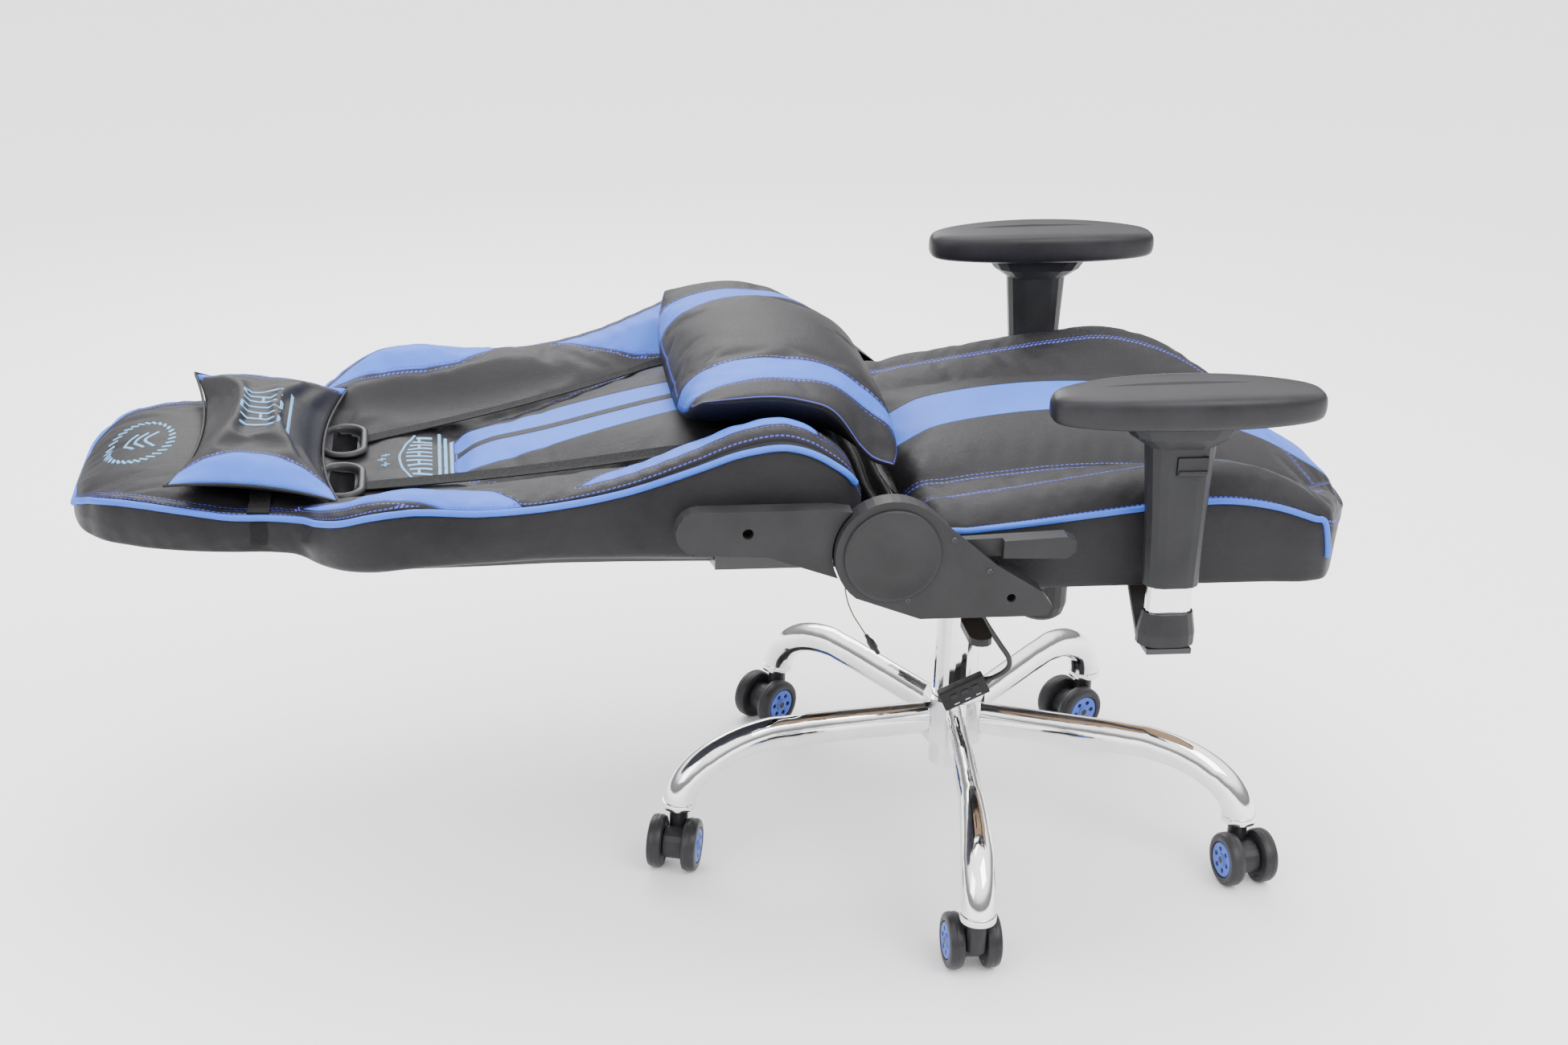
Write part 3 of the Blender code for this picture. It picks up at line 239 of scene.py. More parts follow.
def leather(name, plain=None):
    look = leatherLook
    material, tree, shader = blank(name)
    where = places(tree)
    patches = noise(tree, where, 7, 4)
    black = blend(tree, spread(tree, patches, 0, 1), *look["black"])
    blue = blend(tree, spread(tree, patches, 0, 1), *look["blue"])
    grain = cells(tree, where, look["cell"])
    creases = noise(tree, places(tree, (1, 0.45, 1)), 34, 5, 0.6)
    if plain:
        colour = {"black": black, "blue": blue}[plain]
        height = grain
        under = bump(tree, shader, spread(tree, creases, 0, 1), look["crease"] * 0.5)
    else:
        panel = put(tree, "ShaderNodeAttribute", attribute_name="panel").outputs["Fac"]
        seam = calc(tree, "ABSOLUTE", put(tree, "ShaderNodeAttribute", attribute_name="seam").outputs["Fac"])
        run = put(tree, "ShaderNodeAttribute", attribute_name="run").outputs["Fac"]
        colour = blend(tree, calc(tree, "GREATER_THAN", panel, 0.0), black, blue)
        offRow = calc(tree, "ABSOLUTE", calc(tree, "SUBTRACT", seam, look["row"]))
        onRow = calc(tree, "LESS_THAN", offRow, 0.00055)
        dash = calc(tree, "LESS_THAN", calc(tree, "FRACT", calc(tree, "DIVIDE", run, look["stitch"])), 0.64)
        stitch = calc(tree, "MULTIPLY", onRow, dash)
        colour = blend(tree, stitch, colour, look["thread"])
        groove = spread(tree, seam, 0, 1, 0.0, 0.0021)
        edge = spread(tree, calc(tree, "ABSOLUTE", panel), 0, 1, 0.0, 0.0016)
        seamGrooveAndShade = calc(tree, "MULTIPLY", groove, edge)
        under = bump(tree, shader, calc(tree, "ADD", seamGrooveAndShade, calc(tree, "MULTIPLY", stitch, 0.5)), 0.0011)
        under = bump(tree, shader, spread(tree, creases, 0, 1), look["crease"] * 0.5, under)
        # painted shade: the colour goes up to 55% towards near-black in each seam's groove and along each panel
        # edge
        colour = blend(tree, spread(tree, seamGrooveAndShade, 0.55, 0, 0, 1), colour, (0.006, 0.006, 0.008))
        height = grain
    bump(tree, shader, calc(tree, "MINIMUM", height, 0.35), look["grain"] * 3, under)
    feed(tree, shader, colour=colour)
    rough = calc(tree, "ADD", spread(tree, patches, *look["roughness"]), spread(tree, grain, 0.08, 0, 0, 0.25))
    feed(tree, shader, roughness=rough)
    shader.inputs["Specular IOR Level"].default_value = 0.18
    return material


def moulded(name, dark, light, roughness=(0.42, 0.56), texture=1100, depth=0.00006):
    material, tree, shader = blank(name)
    where = places(tree)
    cloudy = noise(tree, where, 16, 5)
    specks = noise(tree, where, texture, 2)
    tint(tree, shader, cloudy, dark, light)
    feed(tree, shader, roughness=spread(tree, cloudy, *roughness))
    scuffs = noise(tree, places(tree, (1, 6, 1)), 60, 4, 0.7)
    under = bump(tree, shader, spread(tree, scuffs, 0, 1, 0.62, 0.75), 0.00004)
    bump(tree, shader, specks, depth, under)
    shader.inputs["Specular IOR Level"].default_value = 0.22
    return material


def plated(name, dark, light, roughness, ripple):
    material, tree, shader = blank(name)
    where = places(tree)
    smudge = noise(tree, where, 22, 5, 0.65)
    tint(tree, shader, smudge, dark, light)
    feed(tree, shader, metal=1.0, roughness=spread(tree, smudge, *roughness))
    waves = bump(tree, shader, noise(tree, where, 26, 2), ripple)
    bump(tree, shader, noise(tree, places(tree, (1, 1, 9)), 420, 2), 0.00001, waves)
    return material


def zincSteel(name):
    material, tree, shader = blank(name)
    brushed = noise(tree, places(tree, (1, 1, 14)), 160, 4, 0.7)
    spots = noise(tree, places(tree), 40, 5)
    tint(tree, shader, spots, (0.46, 0.46, 0.46), (0.66, 0.66, 0.65))
    feed(tree, shader, metal=0.95, roughness=spread(tree, brushed, 0.22, 0.42))
    bump(tree, shader, brushed, 0.00005)
    return material


def powderCoat(name):
    material, tree, shader = blank(name)
    where = places(tree)
    worn = noise(tree, where, 18, 6, 0.7)
    tint(tree, shader, worn, (0.012, 0.012, 0.013), (0.026, 0.026, 0.028))
    feed(tree, shader, roughness=spread(tree, worn, 0.30, 0.46), metal=0.1)
    bump(tree, shader, noise(tree, where, 520, 2), 0.00011)
    return material


def layeredWood(name):
    material, tree, shader = blank(name)
    grain = noise(tree, places(tree, (1, 0.06, 1)), 120, 5, 0.6)
    height = put(tree, "ShaderNodeSeparateXYZ", {0: places(tree)}).outputs[2]
    layers = calc(tree, "FRACT", calc(tree, "MULTIPLY", height, 420))
    glued = calc(tree, "MULTIPLY", calc(tree, "GREATER_THAN", layers, 0.5), 0.35)
    wood = blend(tree, spread(tree, grain, 0, 1), (0.16, 0.095, 0.05), (0.30, 0.20, 0.115))
    feed(tree, shader, colour=blend(tree, glued, wood, (0.10, 0.06, 0.03)))
    feed(tree, shader, roughness=spread(tree, grain, 0.55, 0.8))
    bump(tree, shader, grain, 0.0002)
    return material


def woven(name, dark, light, pitch):
    material, tree, shader = blank(name)
    axes = put(tree, "ShaderNodeSeparateXYZ", {0: places(tree)}).outputs
    step = 2 * math.pi / pitch
    waves = [calc(tree, "SINE", calc(tree, "MULTIPLY", axis, step)) for axis in axes[:3]]
    weave = calc(tree, "MULTIPLY", calc(tree, "ADD", waves[0], waves[2]), waves[1])
    fuzz = noise(tree, places(tree), 300, 3)
    tint(tree, shader, weave, dark, light, -1, 1)
    feed(tree, shader, roughness=spread(tree, fuzz, 0.7, 0.95))
    bump(tree, shader, calc(tree, "ADD", weave, fuzz), 0.0002)
    shader.inputs["Specular IOR Level"].default_value = 0.15
    shader.inputs["Sheen Weight"].default_value = 0.04
    return material


def sheath(name, dark, light, roughness=(0.38, 0.55)):
    material, tree, shader = blank(name)
    rub = noise(tree, places(tree), 90, 4)
    tint(tree, shader, rub, dark, light)
    feed(tree, shader, roughness=spread(tree, rub, *roughness))
    bump(tree, shader, noise(tree, places(tree), 900, 2), 0.00003)
    return material


def satinStitch(name, dark, light):
    material, tree, shader = blank(name)
    axes = put(tree, "ShaderNodeSeparateXYZ", {0: places(tree)}).outputs
    slant = calc(tree, "ADD", calc(tree, "MULTIPLY", axes[0], 9000), calc(tree, "MULTIPLY", axes[1], 5200))
    strands = calc(tree, "SINE", slant)
    tint(tree, shader, strands, dark, light, -1, 1)
    feed(tree, shader, roughness=spread(tree, noise(tree, places(tree), 260), 0.32, 0.5))
    bump(tree, shader, strands, 0.00018)
    shader.inputs["Sheen Weight"].default_value = 0.3
    return material


finishes = {
    "panelLeather": leather("panelLeather"),
    "blackLeather": leather("blackLeather", "black"),
    "blueLeather": leather("blueLeather", "blue"),
    "coverPlastic": moulded("coverPlastic", (0.014, 0.0137, 0.0145), (0.024, 0.0235, 0.025)),
    "armPlastic": moulded("armPlastic", (0.012, 0.012, 0.0135), (0.022, 0.022, 0.024), (0.36, 0.48)),
    "padSkin": moulded("padSkin", (0.012, 0.0115, 0.013), (0.022, 0.021, 0.024), (0.34, 0.46), 800, 0.0001),
    "wheelPlastic": moulded("wheelPlastic", (0.016, 0.016, 0.018), (0.030, 0.030, 0.032), (0.30, 0.45)),
    "hubBlue": moulded("hubBlue", (0.045, 0.095, 0.42), (0.065, 0.13, 0.52), (0.34, 0.46)),
    "chromePlate": plated("chromePlate", (0.78, 0.78, 0.80), (0.92, 0.92, 0.93), (0.03, 0.10), 0.0007),
    "zincSteel": zincSteel("zincSteel"),
    "powderCoat": powderCoat("powderCoat"),
    "layeredWood": layeredWood("layeredWood"),
    "elasticWeb": woven("elasticWeb", (0.004, 0.004, 0.0045), (0.014, 0.014, 0.015), 0.0016),
    "cableSheath": sheath("cableSheath", (0.012, 0.012, 0.013), (0.024, 0.024, 0.026)),
    "wireSheath": sheath("wireSheath", (0.10, 0.085, 0.035), (0.22, 0.19, 0.085), (0.3, 0.45)),
    "cyanThread": satinStitch("cyanThread", (0.07, 0.30, 0.62), (0.16, 0.50, 0.86)),
}
print("finishes are made:", len(finishes))

reach = studio["floorReach"]
corners = [(x * reach, y * reach, 0) for x, y in ((-1, -1), (1, -1), (1, 1), (-1, 1))]
floorMesh = bpy.data.meshes.new("studioFloor")
floorMesh.from_pydata(corners, [], [(0, 1, 2, 3)])
floorPaint, floorTree, floorShader = blank("floorPaint")
mottle = noise(floorTree, places(floorTree), 3, 2)
feed(floorTree, floorShader, colour=studio["floor"] + (1,), roughness=spread(floorTree, mottle, 0.7, 0.8))
studioFloor = link("studioFloor", floorMesh)
studioFloor.data.materials.append(floorPaint)


# making meshes


def withEnds(p):                     # one more point past each end, for spline
    return np.vstack([2 * p[0] - p[1], p, 2 * p[-1] - p[-2]])


def spline(a, b, c, d, t):           # from b to c as t goes from 0 to 1
    square, cube = 2 * a - 5 * b + 4 * c - d, 3 * b - a - 3 * c + d
    return 0.5 * (2 * b + (c - a) * t + square * t**2 + cube * t**3)


def runAlong(line):                  # the length so far, along the first axis
    steps = np.linalg.norm(np.diff(line, axis=0), axis=-1)
    return np.concatenate([np.zeros_like(steps[:1]), np.cumsum(steps, axis=0)])


def placed(points):                  # from the chair's own places to the frame's
    return points.reshape(-1, 3) + tuple(at(0, 0, 0))


def curveThrough(points, count):     # evenly spaced places on a smooth curve
    p = np.array(points, float)
    ends = withEnds(p)
    t = np.linspace(0, 1, 16, endpoint=False)[:, None]
    fine = [spline(*four, t) for four in zip(ends, ends[1:], ends[2:], ends[3:])]
    fine = np.vstack([*fine, p[-1:]])
    run = runAlong(fine)
    stops = np.linspace(0, run[-1], count)
    return np.stack([np.interp(stops, run, fine[:, k]) for k in range(fine.shape[1])], 1)


def ease(x, xs, ys):                 # a smooth curve through (xs, ys), read at x
    xs, ys = np.array(xs, float), np.array(ys, float)
    slope = np.gradient(ys, xs)
    i = np.clip(np.searchsorted(xs, x) - 1, 0, len(xs) - 2)
    h = xs[i + 1] - xs[i]
    t = np.clip((x - xs[i]) / h, 0, 1)
    rise = (1 + 2 * t) * (1 - t) ** 2 * ys[i] + t * t * (3 - 2 * t) * ys[i + 1]
    return rise + t * (1 - t) ** 2 * h * slope[i] + t * t * (t - 1) * h * slope[i + 1]


def makePiece(name, points, faces, finish, body, angle=None):
    mesh = bpy.data.meshes.new(name)
    mesh.from_pydata([tuple(p) for p in points], [], [tuple(f) for f in faces])
    mesh.validate()
    obj = link(name, mesh)
    mesh.materials.append(finishes[finish])
    mesh.shade_smooth()
    if angle:
        mesh.set_sharp_from_angle(angle=math.radians(angle))
    if body:
        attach(obj, body)
    return obj


def fixNormals(obj):
    bm = bmesh.new()
    bm.from_mesh(obj.data)
    bmesh.ops.recalc_face_normals(bm, faces=bm.faces)
    bm.to_mesh(obj.data)
    bm.free()


def ringFaces(rings, around):
    faces = []
    for r in range(rings - 1):
        for i in range(around):
            j = (i + 1) % around
            faces.append((r * around + i, r * around + j, (r + 1) * around + j, (r + 1) * around + i))
    faces.append(tuple(range(around))[::-1])
    faces.append(tuple(range((rings - 1) * around, rings * around)))
    return faces


def sheetFaces(rows, n):
    pairs = [(r * n + c, (r + 1) * n + c) for r in range(rows - 1) for c in range(n - 1)]
    return [(low, low + 1, high + 1, high) for low, high in pairs]


def loftPiece(name, rings, finish, body, angle):
    rings = np.array([[tuple(p) for p in ring] for ring in rings])
    faces = ringFaces(len(rings), rings.shape[1])
    obj = makePiece(name, rings.reshape(-1, 3), faces, finish, body, angle=angle)
    fixNormals(obj)
    return obj


# the profile is rows of radius and height
def turnedPiece(name, profile, centre, axis, finish, body, facets=48, angle=35):
    turn = Vector((0, 0, 1)).rotation_difference(Vector(axis))
    rings = []
    for radius, height in profile:
        ring = []
        for i in range(facets):
            a = 2 * math.pi * i / facets
            ring.append(Vector(centre) + turn @ Vector((radius * math.cos(a), radius * math.sin(a), height)))
        rings.append(ring)
    return loftPiece(name, rings, finish, body, angle=angle)


def pipePiece(name, points, radius, finish, body, closed=False):
    curve = bpy.data.curves.new(name, "CURVE")
    curve.dimensions = "3D"
    curve.bevel_depth = radius
    curve.bevel_resolution = 4
    curve.use_fill_caps = True
    spline = curve.splines.new("POLY")
    spline.points.add(len(points) - 1)
    for place, point in zip(spline.points, points):
        place.co = (*point, 1)
    spline.use_cyclic_u = closed
    spline.use_smooth = True
    obj = link(name, curve)
    curve.materials.append(finishes[finish])
    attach(obj, body)
    return obj


# cords

wire = {
    "route": (
        (0.046, 0.0856, 0.327),
        (0.046, 0.097, 0.327),
        (0.060, 0.113, 0.311),
        (0.070, 0.118, 0.285),
        (0.077, 0.115, 0.257),
        (0.080, 0.107, 0.233),
        (0.081, 0.096, 0.214),
        (0.081, 0.089, 0.203),
    ),
    "radius": 0.0009,
    "length": 0.157,
    # radius and place along the plug
    "plug": (
        (0.0008, 0),
        (0.0022, 0.0004),
        (0.0026, 0.006),
        (0.0042, 0.010),
        (0.0045, 0.013),
        (0.0045, 0.020),
        (0.0040, 0.021),
        (0.0028, 0.0214),
        (0.0027, 0.0285),
        (0.0020, 0.0297),
    ),
}
cable = {
    "route": (
        (-0.045, -0.002, 0.3144),
        (-0.045, -0.002, 0.303),
        (-0.045, -0.020, 0.271),
        (-0.046, -0.037, 0.245),
        (-0.047, -0.047, 0.230),
        (-0.047, -0.048, 0.2185),
        (-0.046, -0.040, 0.2095),
        (-0.046, -0.024, 0.2015),
    ),
    "radius": 0.003,
    "length": 0.140,
    "box": (0.0135, 0.054, 0.0235),
    "relief": ((0.0032, -0.006), (0.0034, -0.0055), (0.0052, 0.0002), (0.0052, 0.0004)),
    "keyPitch": 0.013,
}


def smoothRoute(route, count):
    return [at(*p) for p in curveThrough(route, count)]


def runLength(points):
    return sum((b - a).length for a, b in zip(points, points[1:]))


wirePoints = smoothRoute(wire["route"], 36)
wirePiece = pipePiece("wireLead", wirePoints, wire["radius"], "wireSheath", "mechanism")
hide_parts("wire")

wireEnd = (wirePoints[-1] - wirePoints[-2]).normalized()
plugStart = wirePoints[-1] + wireEnd * 0.0003
wirePlug = turnedPiece("wirePlug", wire["plug"], plugStart, wireEnd, "cableSheath", "mechanism", 28)
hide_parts("wire_plug")

cablePoints = smoothRoute(cable["route"], 40)
cablePiece = pipePiece("leverCable", cablePoints, cable["radius"], "cableSheath", "mechanism")
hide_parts("cable")
print("wire", round(runLength(wirePoints), 4), "cable", round(runLength(cablePoints), 4))


def roundedBox(name, centre, size, radius, finish, body, turn=Matrix.Identity(3), segments=3):
    bm = bmesh.new()
    bmesh.ops.create_cube(bm, size=1)
    bmesh.ops.scale(bm, vec=size, verts=bm.verts)
    bmesh.ops.bevel(bm, geom=bm.edges[:], offset=radius, segments=segments, profile=0.6, affect="EDGES")
    points = [Vector(centre) + turn @ v.co for v in bm.verts]
    faces = [[v.index for v in f.verts] for f in bm.faces]
    bm.free()
    return makePiece(name, points, faces, finish, body, angle=40)


cableEnd = (cablePoints[-1] - cablePoints[-2]).normalized()
boxTurn = Vector((0, 1, 0)).rotation_difference(cableEnd).to_matrix()
boxCentre = cablePoints[-1] + cableEnd * (0.0006 + cable["box"][1] / 2)
controlBox = roundedBox("controlBox", boxCentre, cable["box"], 0.0022, "coverPlastic", "mechanism", boxTurn)
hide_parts("control_box")
# what stands on the box's face: name, lift off the face, height, size, corner, finish, corner steps
boxRows = (
    ("controlKey", 0.0002, 0.002, (0.0022, 0.0085, 0.006), 0.0009, "wheelPlastic", 2),
    ("controlMark", 0, -0.0075, (0.0005, 0.006, 0.0012), 0.0002, "zincSteel", 1),
)
for name, lift, height, size, corner, finish, steps in boxRows:
    for k in range(3):
        offset = Vector((-cable["box"][0] / 2 - lift, -0.014 + cable["keyPitch"] * k, height))
        place = boxCentre + boxTurn @ offset
        roundedBox(f"{name}{k + 1}", place, size, corner, finish, "mechanism", boxTurn, steps)
relief = turnedPiece("cableRelief", cable["relief"], cablePoints[-1], cableEnd, "cableSheath", "mechanism", 24)
print("cords hang from the mechanism")


# pieces kept from the frame: their corners are softened and they take a finish


def dress(node, finish, corner):
    obj = nodes[node]
    obj.data.materials.clear()
    obj.data.materials.append(finishes[finish])
    weld = obj.modifiers.new("weld", "WELD")
    weld.merge_threshold = 0.00002
    flat = obj.modifiers.new("flat", "DECIMATE")
    flat.decimate_type = "DISSOLVE"
    flat.angle_limit = math.radians(1.5)
    soften = obj.modifiers.new("soften", "BEVEL")
    soften.width = corner
    soften.segments = 2
    soften.limit_method = "ANGLE"
    soften.angle_limit = math.radians(38)
    soften.use_clamp_overlap = True
    soften.harden_normals = True


# names ending in _ come once for each side
dressing = {
    "chromePlate": ("base_hub", "gas_lift_tube", "arm_tube_"),
    "zincSteel": ("gas_lift_piston", "tilt_pivot_pin", "tilt_lock_bolt", "recliner_plate_", "back_plate_"),
    "powderCoat": ("mechanism_housing", "seat_plate", "arm_bracket_", "backrest_frame"),
    "coverPlastic": ("side_cover_", "back_cover_", "recline_lever", "tension_knob", "height_lever"),
    "armPlastic": ("arm_sleeve_", "arm_button_", "arm_boot_"),
    "wheelPlastic": tuple(f"caster_fork_{i}" for i in range(1, 6)),
    "layeredWood": ("seat_pan",),
}
for finish, names in dressing.items():
    for name in names:
        for node in [name + side for side, _ in sides] if name.endswith("_") else [name]:
            dress(node, finish, 0.0012 if "cover" in node else 0.0007)
print("frame pieces are dressed")

# padding: each soft piece is a grid whose seams stay put while a short cloth pass fills it out

padding = {
    "frames": 20,
    "pressure": {"seat": 4.0, "back": 4.0, "pillow": 3.0},
    "most": {"seat": 0.012, "back": 0.010, "pillow": 0.010},      # how far a point may move
    "stitched": 0.0042,     # held down to each side of a seam
    "settings": {
        "vertex_group_mass": "sewn",
        "quality": 4,
        "mass": 0.25,
        "tension_stiffness": 12,
        "compression_stiffness": 12,
        "shear_stiffness": 4,
        "bending_stiffness": 0.6,
        "use_pressure": True,
        # the cover is cut a little larger than its foam, so it puckers along its seams
        "shrink_min": -0.012,
    },
}


def puff(obj, held, kind):                   # held: 1 where the cover is sewn or glued down
    mesh = obj.data
    start = np.array([v.co for v in mesh.vertices])
    group = obj.vertex_groups.new(name="sewn")
    for i, weight in enumerate(held):
        if weight > 0:
            group.add([i], float(weight), "REPLACE")
    cloth = obj.modifiers.new("padding", "CLOTH")
    for key, value in padding["settings"].items():
        setattr(cloth.settings, key, value)
    cloth.settings.uniform_pressure_force = padding["pressure"][kind]
    cloth.settings.effector_weights.gravity = 0
    cloth.collision_settings.use_collision = False
    cloth.point_cache.frame_start, cloth.point_cache.frame_end = 1, padding["frames"]
    for number in range(1, padding["frames"] + 1):
        scene.frame_set(number)
    graph = bpy.context.evaluated_depsgraph_get()
    moved = np.array([v.co for v in obj.evaluated_get(graph).data.vertices])
    obj.modifiers.remove(cloth)
    obj.vertex_groups.remove(group)
    scene.frame_set(1)
    shift = moved - start
    far = np.linalg.norm(shift, axis=1)[:, None]
    shift *= np.minimum(1, padding["most"][kind] / np.maximum(far, 1e-9))
    mesh.vertices.foreach_set("co", (start + shift).ravel())
    mesh.update()
    print(obj.name, "filled out by up to", round(float(far.max()) * 1000, 1), "mm")


def upholster(obj, node):
    subdivide(obj)
    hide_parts(node)


def mark(obj, name, values):
    attribute = obj.data.attributes.new(name, "FLOAT", "POINT")
    attribute.data.foreach_set("value", np.asarray(values, np.float32).ravel())


def subdivide(obj):
    made = obj.modifiers.new("smooth", "SUBSURF")
    made.levels = made.render_levels = 1


def surfaceOf(*objs):                        # the finished shape, to lay trim on
    graph = bpy.context.evaluated_depsgraph_get()
    points, faces = [], []
    for obj in objs:
        mesh = obj.evaluated_get(graph).to_mesh()
        faces += [[i + len(points) for i in p.vertices] for p in mesh.polygons]
        points += [obj.matrix_world @ v.co for v in mesh.vertices]
    return BVHTree.FromPolygons(points, faces)


def dropOn(surface, x, y, lift):             # x and y in the chair's own places
    hit, normal, _, _ = surface.ray_cast(at(x, y, 2.0), Vector((0, 0, -1)))
    return None if hit is None else hit + normal * lift


def sectionPoint(controls, u):               # u counts along the section's own control points
    i = min(int(u), len(controls) - 2)
    return spline(*withEnds(np.array(controls, float))[i : i + 4], u - i)


def gatherAlong(points, normals, distance, run, pitch, depth, width):
    wave = np.sin(2 * np.pi * run / pitch) * np.sin(2 * np.pi * run / (pitch * 2.7) + 1.3)
    return points + normals * (wave * depth * np.exp(-np.abs(distance) / width))[..., None]


def gridNormals(points):
    along = np.gradient(points, axis=0)
    around = np.gradient(points, axis=1)
    normal = np.cross(around, along)
    return normal / np.maximum(np.linalg.norm(normal, axis=2, keepdims=True), 1e-12)


# seat cushion

seat = {
    "front": -0.394,
    "depth": 0.500,
    "halfWidth": 0.262,
    "floor": 0.4173,
    "middleCrown": 0.092,
    "bolsterCrown": 0.105,
    # share of the depth, then of the middle's crown, of the bolsters' crown and of the width
    "stations": (
        (0.000, 0.06, 0.03, 0.14),
        (0.012, 0.15, 0.06, 0.30),
        (0.038, 0.24, 0.12, 0.43),
        (0.068, 0.31, 0.25, 0.56),
        (0.098, 0.38, 0.38, 0.69),
        (0.128, 0.46, 0.50, 0.82),
        (0.152, 0.53, 0.57, 0.92),
        (0.170, 0.58, 0.62, 0.975),
        (0.198, 0.65, 0.70, 1.0),
        (0.290, 0.82, 0.90, 1.0),
        (0.380, 0.93, 1.00, 1.0),
        (0.520, 1.00, 0.96, 1.0),
        (0.650, 1.00, 0.87, 1.0),
        (0.780, 0.93, 0.77, 1.0),
        (0.900, 0.82, 0.67, 0.985),
        (0.975, 0.68, 0.57, 0.95),
        (1.000, 0.44, 0.38, 0.90),
    ),
    # share of the half width, of the bolster's rise and of the middle's
    "section": (
        (0.00, 0.0, 1.00),
        (0.28, 0.0, 0.99),
        (0.46, 0.0, 0.93),
        (0.545, 0.0, 0.80),
        (0.64, 0.42, 0.42),
        (0.74, 0.92, 0.0),
        (0.85, 1.00, 0.0),
        (0.94, 0.93, 0.0),
        (0.992, 0.76, 0.0),
        (1.00, 0.45, 0.0),
        (0.99, 0.16, 0.0),
        (0.985, 0.0, 0.0),
    ),
    # folded under, round the pan
    "wrap": ((0.984, 0.0060), (0.978, 0.0118), (0.962, 0.0118), (0.960, 0.0002)),
    "stripe": 0.045,
    "rows": 88,
    "columns": 46,
}


def seatCushion():
    stations = np.array(seat["stations"])
    rows = np.concatenate([np.linspace(0, 0.2, 26)[:-1], np.linspace(0.2, 1, seat["rows"] - 25)])
    sectionEnd = len(seat["section"]) - 1
    us = np.linspace(0, sectionEnd, seat["columns"])
    rings, shares = [], np.array([sectionPoint(seat["section"], u) for u in us])
    for along in rows:
        middle, bolster, width = (ease(along, stations[:, 0], stations[:, k]) for k in (1, 2, 3))
        y = seat["front"] + seat["depth"] * along
        rise = shares[:, 1] * bolster * seat["bolsterCrown"] + shares[:, 2] * middle * seat["middleCrown"]
        half = np.stack([shares[:, 0] * width * seat["halfWidth"], np.full(len(us), y), seat["floor"] + rise], 1)
        outer = width * seat["halfWidth"]
        wrap = [(outer * k, y, seat["floor"] - drop) for k, drop in seat["wrap"]]
        half = np.vstack([half, wrap])
        rings.append(np.vstack([half, half[1:][::-1] * (-1, 1, 1)]))
    grid = np.array(rings)
    wrapped = [k for k, _ in seat["wrap"]]
    acrossHalf = np.concatenate([shares[:, 0], wrapped])
    share = np.concatenate([acrossHalf, -acrossHalf[1:][::-1]])
    us = np.concatenate([us, sectionEnd + 0.3 * (1 + np.arange(len(wrapped)))])
    u = np.concatenate([us, us[1:][::-1]])
    around = grid.shape[1]
    run = runAlong(grid)
    width = runAlong(grid[len(rows) // 2])
    here = np.interp(u, us, width[: len(us)])
    seams = np.interp((3.0, 5.3, 8.0), us, width[: len(us)])      # centre panel, inner bolster and piping
    distance = np.min([np.abs(here - s) for s in seams], axis=0)
    inner = here - seams[1]
    normals = gridNormals(grid)
    grid = gatherAlong(grid, normals, np.broadcast_to(inner, run.shape), run, 0.013, 0.0011, 0.014)
    held = np.zeros(run.shape)
    held[:, distance < padding["stitched"]] = 1
    held[:, u > 8.6] = 1
    held[:3] = held[-3:] = 1
    obj = makePiece("seatUpholstery", placed(grid), ringFaces(len(grid), around), "panelLeather", "seat")
    fixNormals(obj)
    puff(obj, held.ravel(), "seat")
    mark(obj, "panel", seat["stripe"] - np.abs(grid[:, :, 0]))
    crossSeam = np.abs(run - 0.086) + np.where(np.abs(share)[None, :] > 0.545, 1, 0)
    mark(obj, "seam", np.minimum(np.broadcast_to(distance, run.shape), crossSeam))
    across = np.broadcast_to(np.abs(grid[:, :, 0]), run.shape)
    mark(obj, "run", np.where(crossSeam < distance, across, run))
    upholster(obj, "seat_cushion")
    column = int(round(8.0 / sectionEnd * (seat["columns"] - 1)))
    for name, index in (("seatPipingLeft", column), ("seatPipingRight", around - column)):
        sign = 1 if index == column else -1
        line = [obj.data.vertices[r * around + index].co for r in range(len(grid) - 1) if rows[r] > 0.19]
        line = [p + Vector((0.0012 * sign, 0, 0.0010)) for p in line[::2]]
        line = [at(0.2572 * sign, -0.3065, 0.433), at(0.2592 * sign, -0.3045, 0.446)] + line
        cord = pipePiece(name, [Vector(p) for p in curveThrough(line, 120)], 0.0032, "blueLeather", "seat")
    print("seat cushion is upholstered")


seatCushion()

# back cushion

